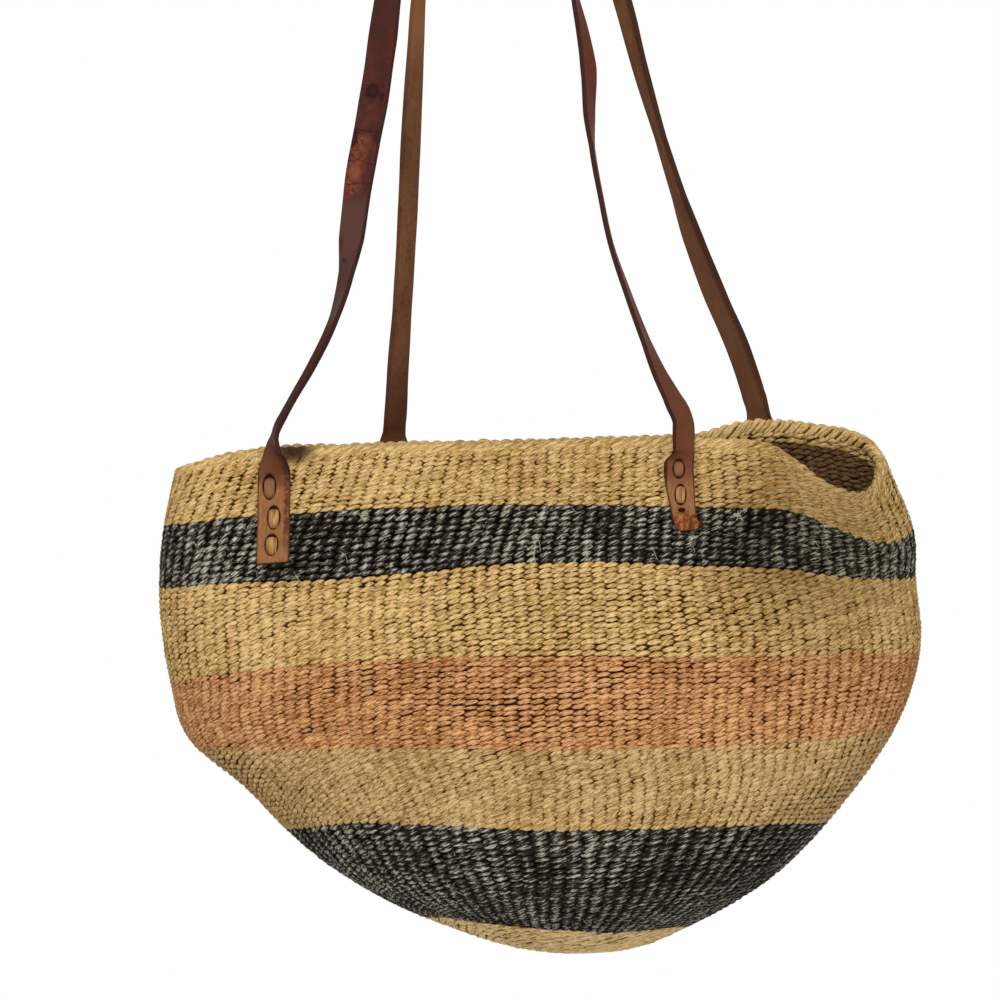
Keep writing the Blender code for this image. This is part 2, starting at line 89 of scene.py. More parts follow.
# Straps, as the solids have them
STRAP_WIDTH = 0.0175
STRAP_THICKNESS = 0.0026
CROWN_SPACING = 0.020
TAB_CLEARANCE = 0.0006
HINGE_STANDOFF = 0.0035
TAB_LEAN = 0.4
FRONT_TABS = {
    "front_left": (0.0072, 0.0630, 0.0172, 0.0175, 0.0120),
    "front_right": (0.0087, 0.0495, 0.0125, 0.0140, 0.0090),
}
BACK_TABS = {
    "back_left": (0.0061, 0.0660, 0.0180, 0.0180, 0.0120),
    "back_right": (0.0066, 0.0660, 0.0200, 0.0180, 0.0120),
}
TAB_PLACE_SHARES = (
    ("front_left", -0.696),
    ("front_right", 0.372),
    ("back_left", -0.384),
    ("back_right", 0.589),
)
FRONT_LOOP_SHARES = (
    (0.000, 0.000, 0.00, 0),
    (0.000, 0.016, -0.05, -22),
    (0.001, 0.030, -0.10, -55),
    (0.008, 0.048, -0.08, -76),
    (0.024, 0.070, -0.04, -83),
    (0.047, 0.099, 0.00, -83),
    (0.090, 0.150, 0.12, -81),
    (0.149, 0.237, 0.25, -79),
    (0.178, 0.314, 0.35, -66),
    (0.189, 0.369, 0.40, -44),
    (0.206, 0.460, 0.50, -36),
    (0.243, 0.603, 0.65, -29),
    (0.265, 0.711, 0.80, -32),
    (0.279, 0.782, 0.90, -40),
    (0.302, 0.868, 1.00, -60),
    (0.356, 0.950, 1.00, -82),
    (0.434, 0.989, 1.00, -90),
    (0.514, 1.000, 1.00, -90),
    (0.592, 0.988, 1.00, -90),
    (0.671, 0.946, 1.00, -88),
    (0.720, 0.868, 0.97, -85),
    (0.736, 0.782, 0.90, -83),
    (0.752, 0.731, 0.85, -75),
    (0.768, 0.663, 0.75, -66),
    (0.771, 0.577, 0.65, -75),
    (0.777, 0.526, 0.60, -87),
    (0.798, 0.441, 0.50, -88),
    (0.824, 0.355, 0.42, -88),
    (0.865, 0.270, 0.35, -84),
    (0.909, 0.188, 0.25, -80),
    (0.944, 0.130, 0.12, -70),
    (0.974, 0.089, 0.00, -63),
    (1.000, 0.048, -0.06, -52),
    (1.001, 0.022, -0.03, -22),
    (1.000, 0.000, 0.00, 0),
)
BACK_LOOP_SHARES = (
    (0.000, 0.000, 0.00, 0),
    (0.000, 0.024, -0.10, 34),
    (0.004, 0.060, -0.08, 52),
    (0.010, 0.128, 0.05, 55),
    (0.023, 0.240, 0.25, 60),
    (0.034, 0.365, 0.45, 59),
    (0.050, 0.573, 0.75, 59),
    (0.061, 0.707, 0.90, 66),
    (0.068, 0.780, 1.00, 71),
    (0.090, 0.866, 1.00, 78),
    (0.155, 0.949, 1.00, 86),
    (0.247, 0.989, 1.00, 90),
    (0.344, 1.000, 1.00, 90),
    (0.445, 0.988, 1.00, 90),
    (0.527, 0.946, 1.00, 86),
    (0.576, 0.865, 1.00, 72),
    (0.621, 0.775, 1.00, 62),
    (0.670, 0.652, 0.90, 68),
    (0.727, 0.527, 0.75, 76),
    (0.779, 0.419, 0.60, 70),
    (0.815, 0.348, 0.50, 58),
    (0.878, 0.241, 0.35, 50),
    (0.939, 0.149, 0.15, 50),
    (0.981, 0.065, -0.08, 50),
    (0.995, 0.030, -0.10, 25),
    (1.000, 0.000, 0.00, 0),
)

# Weave: a stitch's girth and how deep it sits in the wall, and how it leans and dips
STITCH_THICKNESS = 0.0034
STITCH_SEAT = 0.0009
STITCH_OVERLAP = 1.62  # a stitch's length in steps from warp to warp
STITCH_RISE = 1.42  # its height in steps from course to course
STITCH_LEAN = 0.46
STITCH_DIP = 0.46
COURSE_WANDER = 0.0004
CORE_INSET = 0.0023
CORE_THICKNESS = 0.0009

# Bands from the bottom up: the courses of the wall between which each lies, its number of
# rows of stitches, of warps and its yarn
BANDS = (
    ("base_disc", None, "disc_edge", 22, 0, "pale", "pale_sisal"),
    ("lower_dark_band", "disc_edge", "dark_top", 26, 94, "charcoal", "charcoal_sisal"),
    ("lower_natural_band", "dark_top", "natural_top", 17, 136, "shaded natural", "natural_sisal"),
    ("rust_band", "natural_top", "rust_top", 18, 136, "rust", "rust_sisal"),
    ("middle_natural_band", "rust_top", "middle_top", 17, 136, "natural", "natural_sisal"),
    ("upper_dark_band", "middle_top", "upper_dark_top", 10, 132, "charcoal", "charcoal_sisal"),
    ("upper_natural_band", "upper_dark_top", "rim_top", 12, 126, "natural", "natural_sisal"),
)
BASE_STEP = 0.0085  # between warps of the base disc
# Rows of stitches on the outer face by the rim: how far below its top, and their step
EDGE_ROWS = ((0.0062, 0.0027),)


def smooth_curve(knots, values, places):
    """Reads a smooth curve, which runs through the values at the knots, at some places."""
    values = np.asarray(values, float)
    slopes = np.gradient(values, knots, axis=0)
    low = np.clip(np.searchsorted(knots, places) - 1, 0, len(knots) - 2)
    span = (knots[low + 1] - knots[low]).reshape(-1, *[1] * (values.ndim - 1))
    t = (places - knots[low]).reshape(span.shape) / span
    ease = t * t * (3 - 2 * t)
    return (
        values[low] * (1 - ease)
        + values[low + 1] * ease
        + slopes[low] * span * t * (1 - t) ** 2
        - slopes[low + 1] * span * t * t * (1 - t)
    )


def ramp(values, ends):
    """Climbs smoothly from 0 at the first end to 1 at the second."""
    t = np.clip((values - ends[0]) / (ends[1] - ends[0]), 0, 1)
    return t * t * (3 - 2 * t)


def unit(vectors):
    return vectors / np.linalg.norm(vectors, axis=-1, keepdims=True)


def distances(points):
    """How far along a line each of its points lies."""
    steps = np.linalg.norm(np.diff(points, axis=0), axis=-1)
    return np.concatenate([[0.0], np.cumsum(steps)])


def respaced(ring, places):
    """Points of a closed ring at some shares of its length."""
    around = distances(ring)
    return np.stack([np.interp(places * around[-1], around, ring[:, axis]) for axis in range(3)], axis=1)


def course_ring(course):
    """The points of one course, from its right end round the back to the left end and home."""
    _, left_share, right_share, depth_share, end_share, height_shares, open_share = course
    middle = BASKET_OFFSET + (left_share + right_share) * BASKET_WIDTH / 4
    half_width = (right_share - left_share) * BASKET_WIDTH / 4
    half_depth = depth_share * BASKET_DEPTH / 2
    end = end_share * half_width
    turn = np.linspace(0, math.pi / 2, OUTLINE_POINTS)
    end_x = half_width - end + end * np.cos(turn)
    straight = np.linspace(end_x[-1], -end_x[-1], OUTLINE_POINTS)
    x = np.concatenate([end_x, straight, -end_x[::-1]])
    side = np.concatenate([np.sin(turn), np.ones(OUTLINE_POINTS), np.sin(turn)[::-1]])
    x = np.concatenate([x, x[-2:0:-1]])
    side = np.concatenate([side, -side[-2:0:-1]])
    place = x / half_width
    bulge = open_share * MOUTH_BULGE * ramp(place, BULGE_RAMP_SHARES)
    dip = open_share * FRONT_DIP * ramp(place, DIP_RAMP_SHARES) * ramp(-side, (0, 1))
    lift = open_share * BACK_LIFT * ramp(place, LIFT_RAMP_SHARES) * ramp(side, (0, 1))
    heights = smooth_curve(np.array(HEIGHT_PLACE_SHARES), height_shares, place) * BASKET_HEIGHT
    ring = np.stack([middle + x, side * (half_depth + bulge), heights - BASE_DROP - dip + lift], axis=1)
    ring = np.concatenate([ring, ring[:1]])
    even = np.arange(SKIN_COLUMNS) / SKIN_COLUMNS
    return respaced(ring, even - COLUMN_CROWDING * np.sin(4 * math.pi * even) / (4 * math.pi))


class Wall:
    """The outer skin of the basket as a fine grid: rows up the wall, columns evenly around it."""

    def __init__(self):
        rings = [course_ring(course) for course in COURSE_SHARES]
        pole = np.broadcast_to(rings[0].mean(axis=0), rings[0].shape)
        keys = np.stack([pole, *rings])
        steps = np.linalg.norm(np.diff(keys, axis=0), axis=-1).mean(axis=1)
        knots = np.concatenate([[0.0], np.cumsum(steps)])
        self.heights = dict(zip([course[0] for course in COURSE_SHARES], knots[1:]))
        self.top = knots[-1]
        self.ups = np.linspace(0, self.top, SKIN_ROWS)
        even = np.arange(SKIN_COLUMNS) / SKIN_COLUMNS
        rows = smooth_curve(knots, keys, self.ups)
        closed = np.concatenate([rows, rows[:, :1]], axis=1)
        self.points = np.stack([respaced(row, even) for row in closed])
        self.girths = np.linalg.norm(np.diff(closed, axis=1), axis=-1).sum(axis=1)
        around = np.roll(self.points, -1, axis=1) - np.roll(self.points, 1, axis=1)
        rise = np.gradient(self.points, axis=0)
        around[0] = around[1]
        self.normals = unit(np.cross(around, rise))
        self.normals[0] = (0, 0, -1)

    def girth(self, up):
        return np.interp(up, self.ups, self.girths)

    def read(self, grid, up, around):
        """Reads a grid of the wall at heights up it and places around it from 0 to 1."""
        row = np.clip(up / self.top * (SKIN_ROWS - 1), 0, SKIN_ROWS - 1.001)
        column = around % 1.0 * SKIN_COLUMNS
        low, left = row.astype(int), column.astype(int) % SKIN_COLUMNS
        right = (left + 1) % SKIN_COLUMNS
        rise, run = (row - low)[..., None], (column - np.floor(column))[..., None]
        lower = grid[low, left] * (1 - run) + grid[low, right] * run
        upper = grid[low + 1, left] * (1 - run) + grid[low + 1, right] * run
        return lower * (1 - rise) + upper * rise

    def seat(self, up, around, out=0.0):
        """Points that stand a little out of the skin, and the skin's normals there."""
        normals = unit(self.read(self.normals, up, around))
        return self.read(self.points, up, around) + normals * np.reshape(out, (-1, 1)), normals


# Objects and meshes


def mesh_object(name, points, faces, finishes, smooth=True):
    data = bpy.data.meshes.new(name)
    data.from_pydata([tuple(point) for point in points], [], faces)
    data.update()
    if smooth:
        data.shade_smooth()
    made = bpy.data.objects.new(name, data)
    bpy.context.scene.collection.objects.link(made)
    for finish in finishes:
        data.materials.append(finish)
    return made


def ring_faces(rings, columns, closed=False):
    """Quads between rows of points that each close on themselves."""
    faces = []
    for row in range(rings if closed else rings - 1):
        low, high = row * columns, (row + 1) % rings * columns
        for i in range(columns):
            j = (i + 1) % columns
            faces.append((low + i, low + j, high + j, high + i))
    return faces


def plain_mesh(guide, name, tree, values, finish):
    """Runs a tree of geometry nodes on a guide and keeps the result as a plain mesh object."""
    modifier = guide.modifiers.new(tree.name, "NODES")
    modifier.node_group = tree
    inputs = {
        item.name: item.identifier for item in tree.interface.items_tree if item.in_out == "INPUT"
    }
    for key, value in {**values, "Finish": finish}.items():
        modifier[inputs[key]] = value
    guide.update_tag()
    depsgraph = bpy.context.evaluated_depsgraph_get()
    depsgraph.update()
    data = bpy.data.meshes.new_from_object(guide.evaluated_get(depsgraph))
    data.name = name
    bpy.data.objects.remove(guide)
    made = bpy.data.objects.new(name, data)
    bpy.context.scene.collection.objects.link(made)
    return made


# Geometry node trees


class Tree:
    """A tree of geometry nodes with named inputs, which ends in a finished plain mesh."""

    def __init__(self, name, inputs):
        self.tree = bpy.data.node_groups.new(name, "GeometryNodeTree")
        self.tree.interface.new_socket("Guide", in_out="INPUT", socket_type="NodeSocketGeometry")
        for key, kind in {**inputs, "Finish": "Material"}.items():
            self.tree.interface.new_socket(key, in_out="INPUT", socket_type="NodeSocket" + kind)
        self.tree.interface.new_socket("Result", in_out="OUTPUT", socket_type="NodeSocketGeometry")
        self.inputs = self.tree.nodes.new("NodeGroupInput").outputs
        self.result = self.tree.nodes.new("NodeGroupOutput").inputs["Result"]

    def node(self, kind, values=None, output=0, **settings):
        """Adds a node with its settings, and with values or links in its sockets."""
        made = self.tree.nodes.new(kind)
        for key, value in settings.items():
            setattr(made, key, value)
        for key, value in (values or {}).items():
            socket = made.inputs[key]
            if isinstance(value, bpy.types.NodeSocket):
                self.tree.links.new(value, socket)
            else:
                socket.default_value = value
        return made.outputs[output]

    def math(self, operation, *values):
        return self.node("ShaderNodeMath", dict(enumerate(values)), operation=operation)

    def read(self, name, kind):
        return self.node("GeometryNodeInputNamedAttribute", {"Name": name}, data_type=kind)

    def store(self, geometry, name, value, kind):
        return self.node(
            "GeometryNodeStoreNamedAttribute",
            {"Geometry": geometry, "Name": name, "Value": value},
            data_type=kind,
            domain="POINT",
        )

    def end(self, geometry):
        """Makes the result real, smooth and finished."""
        real = self.node("GeometryNodeRealizeInstances", {"Geometry": geometry})
        smooth = self.node("GeometryNodeSetShadeSmooth", {"Geometry": real})
        values = {"Geometry": smooth, "Material": self.inputs["Finish"]}
        self.tree.links.new(self.node("GeometryNodeSetMaterial", values), self.result)
        return self.tree


def stitch_tree():
    """A plump leaning spindle of yarn on each point: its ends taper and dip under its neighbours."""
    amounts = {name: "Float" for name in ("Lean", "Dip", "Taper", "Twist")}
    tree = Tree("stitches", {"Sides": "Int", "Rings": "Int", **amounts})
    ball = tree.node(
        "GeometryNodeMeshUVSphere",
        {"Segments": tree.inputs["Sides"], "Rings": tree.inputs["Rings"], "Radius": 1.0},
    )
    lying = tree.node("GeometryNodeTransform", {"Geometry": ball, "Rotation": (0.0, math.pi / 2, 0.0)})
    here = tree.node("GeometryNodeInputPosition")
    along, up, out = tree.node("ShaderNodeSeparateXYZ", {0: here}).node.outputs
    turn = tree.math("MULTIPLY", along, tree.inputs["Twist"])
    thread = tree.node("ShaderNodeVectorRotate", {"Vector": here, "Angle": turn}, rotation_type="X_AXIS")
    square = tree.math("MULTIPLY", along, along)
    wave = tree.math("SINE", tree.math("MULTIPLY", along, math.pi / 2))
    lean = tree.math("MULTIPLY", wave, tree.inputs["Lean"])
    narrow = tree.math("SUBTRACT", 1.0, tree.math("MULTIPLY", square, tree.inputs["Taper"]))
    height = tree.math("ADD", tree.math("MULTIPLY", up, narrow), lean)
    depth = tree.math("SUBTRACT", out, tree.math("MULTIPLY", square, tree.inputs["Dip"]))
    marked = tree.store(lying, "thread", thread, "FLOAT_VECTOR")
    marked = tree.store(marked, "depth", depth, "FLOAT")
    bent = tree.node("ShaderNodeCombineXYZ", {0: along, 1: height, 2: depth})
    shape = tree.node("GeometryNodeSetPosition", {"Geometry": marked, "Position": bent})
    turned = tree.node(
        "FunctionNodeAxesToRotation",
        {
            "Primary Axis": tree.read("outward", "FLOAT_VECTOR"),
            "Secondary Axis": tree.read("onward", "FLOAT_VECTOR"),
        },
        primary_axis="Z",
        secondary_axis="X",
    )
    copies = tree.node(
        "GeometryNodeInstanceOnPoints",
        {
            "Points": tree.inputs["Guide"],
            "Instance": shape,
            "Rotation": turned,
            "Scale": tree.read("size", "FLOAT_VECTOR"),
        },
    )
    return tree.end(copies)


def strand_tree():
    """A round strand of yarn or a hair along each line of the guide, as thick as its points say."""
    tree = Tree("strands", {"Sides": "Int"})
    lines = tree.node("GeometryNodeMeshToCurve", {"Mesh": tree.inputs["Guide"]})
    circle = tree.node("GeometryNodeCurvePrimitiveCircle", {"Resolution": tree.inputs["Sides"], "Radius": 1.0})
    section = tree.store(circle, "section", tree.node("GeometryNodeInputPosition"), "FLOAT_VECTOR")
    tube = tree.node(
        "GeometryNodeCurveToMesh",
        {
            "Curve": lines,
            "Profile Curve": section,
            "Scale": tree.read("girth", "FLOAT"),
            "Fill Caps": True,
        },
    )
    across, other, _ = tree.node("ShaderNodeSeparateXYZ", {0: tree.read("section", "FLOAT_VECTOR")}).node.outputs
    thread = tree.node("ShaderNodeCombineXYZ", {0: tree.read("along", "FLOAT"), 1: across, 2: other})
    return tree.end(tree.store(tube, "thread", thread, "FLOAT_VECTOR"))


# Materials


def srgb(*levels):
    """A colour from its 0 to 255 levels on screen, as the shaders take it."""
    shares = [level / 255 for level in levels]
    return (*[s / 12.92 if s <= 0.04045 else ((s + 0.055) / 1.055) ** 2.4 for s in shares], 1.0)


class Value:
    """A number in a material's nodes, which can be added and multiplied like any other."""

    def __init__(self, finish, socket):
        self.finish, self.socket = finish, socket

    def math(self, operation, *others):
        values = dict(enumerate((self, *others)))
        return self.finish.node("ShaderNodeMath", values, operation=operation)

    def __add__(self, other):
        return self.math("ADD", other)

    def __sub__(self, other):
        return self.math("SUBTRACT", other)

    def __rsub__(self, other):
        return self.finish.node("ShaderNodeMath", {0: other, 1: self}, operation="SUBTRACT")

    def __mul__(self, other):
        return self.math("MULTIPLY", other)

    __radd__ = __add__
    __rmul__ = __mul__


class Finish:
    """A material whose nodes end in the surface's own colour, roughness and relief."""

    def __init__(self, name, fixed):
        self.material = bpy.data.materials.new(name)
        self.material.use_nodes = True
        self.tree = self.material.node_tree
        self.shader = self.tree.nodes["Principled BSDF"]
        for key, value in fixed.items():
            self.shader.inputs[key].default_value = value

    def node(self, kind, values=None, output=0, **settings):
        """Adds a node with its settings, and with values or links in its sockets."""
        made = self.tree.nodes.new(kind)
        for key, value in settings.items():
            setattr(made, key, value)
        for key, value in (values or {}).items():
            self.put(made.inputs[key], value)
        return Value(self, made.outputs[output])

    def put(self, socket, value):
        if isinstance(value, Value):
            self.tree.links.new(value.socket, socket)
        else:
            socket.default_value = value

    def read(self, name, output="Fac"):
        return self.node("ShaderNodeAttribute", output=output, attribute_name=name)

    def place(self):
        return self.node("ShaderNodeTexCoord", output="Object")

    def stretch(self, vector, shares):
        return self.node("ShaderNodeVectorMath", {0: vector, 1: shares}, operation="MULTIPLY")

    def shift(self, vector, value, shares):
        """Moves a place in a pattern by a value along a direction, so that copies differ."""
        scaled = self.node(
            "ShaderNodeVectorMath", {0: shares, "Scale": value}, operation="SCALE"
        )
        return self.node("ShaderNodeVectorMath", {0: vector, 1: scaled}, operation="ADD")

    def noise(self, vector, scale=1.0, detail=2.0, roughness=0.55):
        values = {"Vector": vector, "Scale": scale, "Detail": detail, "Roughness": roughness}
        return self.node("ShaderNodeTexNoise", values)

    def ramp(self, value, low, high):
        """0 below the low value, 1 above the high one and smooth between."""
        values = {"Value": value, "From Min": low, "From Max": high}
        return self.node("ShaderNodeMapRange", values, interpolation_type="SMOOTHSTEP")

    def mix(self, amount, low, high):
        values = {0: amount, 6: low, 7: high}
        return self.node("ShaderNodeMix", values, output=2, data_type="RGBA")

    def tint(self, amount, colour, shares):
        """Takes a colour towards its own product with another."""
        values = {0: amount, 6: colour, 7: shares}
        return self.node("ShaderNodeMix", values, output=2, data_type="RGBA", blend_type="MULTIPLY")

    def spot(self, centre, sizes, edge=0.5):
        """1 within an ellipsoid round a place and 0 outside it."""
        away = self.node("ShaderNodeVectorMath", {0: self.place(), 1: centre}, operation="SUBTRACT")
        shares = tuple(1 / size for size in sizes)
        reach = self.node(
            "ShaderNodeVectorMath", {0: self.stretch(away, shares)}, output=1, operation="LENGTH"
        )
        return 1 - self.ramp(reach, 1 - edge, 1 + edge)

    def finish(self, colour, relief=None, height=0.001, roughness=None):
        self.put(self.shader.inputs["Base Color"], colour)
        if roughness is not None:
            self.put(self.shader.inputs["Roughness"], roughness)
        if relief is not None:
            values = {"Height": relief, "Distance": height, "Strength": 1.0}
            self.put(self.shader.inputs["Normal"], self.node("ShaderNodeBump", values))
        return self.material


def yarn_finish(name, groove_shade, plain, light, pale_from, pale_to, patches, top_highlight, darker_patch=False):
    """Twisted sisal yarn: dark in its grooves as painted shade and paler on the tops of its stitches as a painted
    highlight, streaked with paler fibres, uneven over the wall, in painted shade by the mouth and where it lies
    inside the basket, and, where it has the patch, darker beside the left front tab."""
    finish = Finish(name, {"Roughness": 0.8, "Specular IOR Level": 0.06})
    shade, depth = finish.read("shade"), finish.read("depth")
    thread = finish.shift(finish.read("thread", "Vector"), shade, (71.0, 37.0, 53.0))
    fibres = finish.noise(finish.stretch(thread, FIBRE_STRETCH), detail=4.0, roughness=0.65)
    broad = finish.noise(finish.stretch(finish.place(), PATCH_STRETCH), detail=2.0)
    # Painted highlight: the tops of the stitches are paler
    uneven = fibres + (shade - 0.5) * SHADE_SHARE + (depth - 0.55) * top_highlight
    uneven = uneven + (broad - 0.5) * patches
    colour = finish.mix(finish.ramp(uneven, pale_from, pale_to), plain, light)
    # Painted shade: below each stitch's top its colour turns to the groove colour, darkest in the grooves and at its
    # dipped ends
    lit = finish.ramp(depth + (fibres - 0.5) * GROOVE_SHADE_FRAY, *GROOVE_SHADE_RAMP)
    colour = finish.mix(lit, groove_shade, colour)
    # A darker patch of the yarn just right of the left front tab, below the rim
    if darker_patch:
        darkened = finish.spot(*TAB_SIDE_PATCH) * finish.ramp(broad + fibres, 0.7, 1.0)
        colour = finish.mix(darkened, colour, TAB_SIDE_PATCH_COLOUR)
    # Painted shade on the yarn by the mouth
    colour = finish.tint(finish.spot(*MOUTH_SHADE_PLACE), colour, MOUTH_SHADE_TINT)
    colour = finish.tint(finish.read("inside"), colour, INSIDE_SHADE)
    return finish.finish(colour, relief=fibres, height=FIBRE_RELIEF)


def plain_finish(name, colour, roughness=0.9):
    return Finish(name, {"Roughness": roughness, "Base Color": colour}).material


FIBRE_STRETCH = (1.7, 2.9, 2.9)
PATCH_STRETCH = (26.0, 26.0, 12.0)
# Where along a stitch's depth the painted groove shade gives way to the yarn's colour, and how much the fibres fray
# that edge
GROOVE_SHADE_RAMP = (0.20, 0.64)
GROOVE_SHADE_FRAY = 1.0
SHADE_SHARE = 0.07
INSIDE_SHADE = (0.25, 0.21, 0.23, 1.0)
INSIDE_FADE = (0.0095, 0.0130)  # how far below the top of the rim the shade begins and is full
FIBRE_RELIEF = 0.0013
# The darker patch just right of the left front tab: its middle, half sizes and edge, then its colour
TAB_SIDE_PATCH = ((-0.1135, -0.030, -0.3095), (0.011, 0.030, 0.0075), 0.5)
TAB_SIDE_PATCH_COLOUR = srgb(72, 48, 36)
# Where the painted shade by the mouth lies, and its tint
MOUTH_SHADE_PLACE = ((0.165, -0.05, -0.360), (0.055, 0.07, 0.050), 0.7)  # by the mouth
MOUTH_SHADE_TINT = (0.56, 0.54, 0.49, 1.0)


# Weave


def guide_mesh(points, edges, **attributes):
    """Bare points or lines that carry what the node trees read."""
    data = bpy.data.meshes.new("guide")
    data.from_pydata([tuple(point) for point in points], edges, [])
    for name, values in attributes.items():
        values = np.asarray(values, np.float32)
        kind, field = ("FLOAT_VECTOR", "vector") if values.ndim == 2 else ("FLOAT", "value")
        layer = data.attributes.new(name, kind, "POINT")
        layer.data.foreach_set(field, values.ravel())
    made = bpy.data.objects.new("guide", data)
    bpy.context.scene.collection.objects.link(made)
    return made


STITCH_TAPER = 0.58
STITCH_TWIST = 0.9
STITCH_SHIFT = 0.048
STITCH_SPREAD = 0.075
LOOSE_SHARE = 0.006
CORE_COLUMNS = 224
CORE_ROWS = 24
OUTER_STITCH = (8, 6)
INNER_STITCH = (6, 4)
WARP_WANDER = 0.18


def stitch_guide(wall, rows, seed, inside):
    """A point for each stitch of some rows, on the outer or the inner face of the wall."""
    chance = np.random.default_rng(seed)
    found = {key: [] for key in ("points", "outward", "onward", "size", "shade", "inside")}
    face = -1 if inside else 1
    for up, rise, warps in rows:
        place = (np.arange(warps) + 0.5) / warps
        drift = np.sin(math.tau * (3 * place + up * 9)) + np.sin(math.tau * (7 * place - up * 14))
        around = place + (drift * WARP_WANDER / 2 + chance.normal(0, STITCH_SHIFT, warps)) / warps
        wander = np.sin(math.tau * (5 * place + up * 31)) + np.sin(math.tau * (13 * place - up * 23))
        height = up + wander * COURSE_WANDER / 2 + chance.normal(0, STITCH_SHIFT, warps) * rise
        height = np.clip(height, 0, wall.top)
        out = -(WALL - STITCH_SEAT) if inside else -STITCH_SEAT
        points, normals = wall.seat(height, around, np.full(warps, out))
        step = 0.5 / warps
        ahead, behind = (wall.seat(height, around + side * step)[0] for side in (1, -1))
        pitch = np.linalg.norm(ahead - behind, axis=1)
        loose = np.where(chance.uniform(0, 1, warps) < LOOSE_SHARE, 0.72, 1.0)[:, None]
        size = np.stack([pitch * STITCH_OVERLAP, rise * STITCH_RISE + 0 * pitch, STITCH_THICKNESS + 0 * pitch], axis=1)
        found["points"].append(points)
        found["outward"].append(normals * face)
        found["onward"].append(unit(ahead - behind) * face)
        found["size"].append(size / 2 * chance.normal(1, STITCH_SPREAD, (warps, 3)) * loose)
        found["shade"].append(chance.uniform(0, 1, warps))
        found["inside"].append(inside * ramp(wall.top - height, INSIDE_FADE))
    found = {key: np.concatenate(values) for key, values in found.items()}
    return guide_mesh(found.pop("points"), [], **found)


def band_rows(wall, low, high, count, warps):
    """The rows of stitches of a band: height up the wall, step to the next row and warps."""
    edges = np.linspace(low, high, count + 1)
    rows = []
    for below, above in zip(edges, edges[1:]):
        up = (below + above) / 2
        rows.append((up, above - below, warps or max(6, round(wall.girth(up) / BASE_STEP))))
    return rows


def make_core(wall, name, low, high, finish):
    """The inside of the weave, seen in the pits between the stitches, in the yarns' colours painted dark as the shade
    there.
    """
    ups = np.linspace(max(low, BASE_STEP / 8), high, CORE_ROWS)
    even = np.arange(CORE_COLUMNS) / CORE_COLUMNS
    skins = []
    for inset in (CORE_INSET, CORE_INSET + CORE_THICKNESS):
        skins.append([wall.seat(np.full(CORE_COLUMNS, up), even, -inset)[0] for up in ups])
    rings = skins[0] + skins[1][::-1]
    faces = ring_faces(len(rings), CORE_COLUMNS, closed=True)
    return mesh_object(name, np.concatenate(rings), faces, [finish])


def make_weave(wall, finishes):
    stitches = stitch_tree()
    for number, (node, low, high, count, warps, yarn, slot) in enumerate(BANDS):
        low = wall.heights[low] if low else 0.0
        high = min(wall.heights[high], wall.top - RIM_HEIGHT)
        rows = band_rows(wall, low, high, count, warps)
        edge = [(wall.top - drop, rise, warps) for drop, rise in EDGE_ROWS if node == BANDS[-1][0]]
        for inside, (sides, rings) in ((False, OUTER_STITCH), (True, INNER_STITCH)):
            guide = stitch_guide(wall, rows + edge * (not inside), 10 * number + inside, inside)
            values = {
                "Sides": sides,
                "Rings": rings,
                "Lean": STITCH_LEAN,
                "Dip": STITCH_DIP,
                "Taper": STITCH_TAPER,
                "Twist": STITCH_TWIST,
            }
            face = "inner" if inside else "outer"
            piece = plain_mesh(guide, f"{node}_{face}_stitches", stitches, values, finishes[yarn])
            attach(piece, "basket")
            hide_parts(node)
        core = make_core(wall, f"{node}_core", low, high, finishes[yarn, "core"])
        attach(core, "basket")


WRAPS = 268
WRAP_POINTS = 17
WRAP_SIDES = 7
WRAP_GIRTH = 0.00126
WRAP_REACH = 0.0034  # how far a wrap comes down each face of the wall below its arc
WRAP_SLANT = 5.6  # how far along the rim a wrap leans, in steps from wrap to wrap
WRAP_ARC = 0.40  # the share of each half of a wrap that lies on the round top
WRAP_STEP = 0.0005  # how much higher every second wrap stands
OUTER_REACH = 0.0026
OUTER_GIRTHS = (0.72, 1.36)  # shares of the girth of a lower and a higher wrap on the outer face
OUTER_SLANT = 1.05  # how much flatter a wrap lies on the outer face
RIM_DRAFT = 0.00025
FIBRE_LENGTH = 0.006


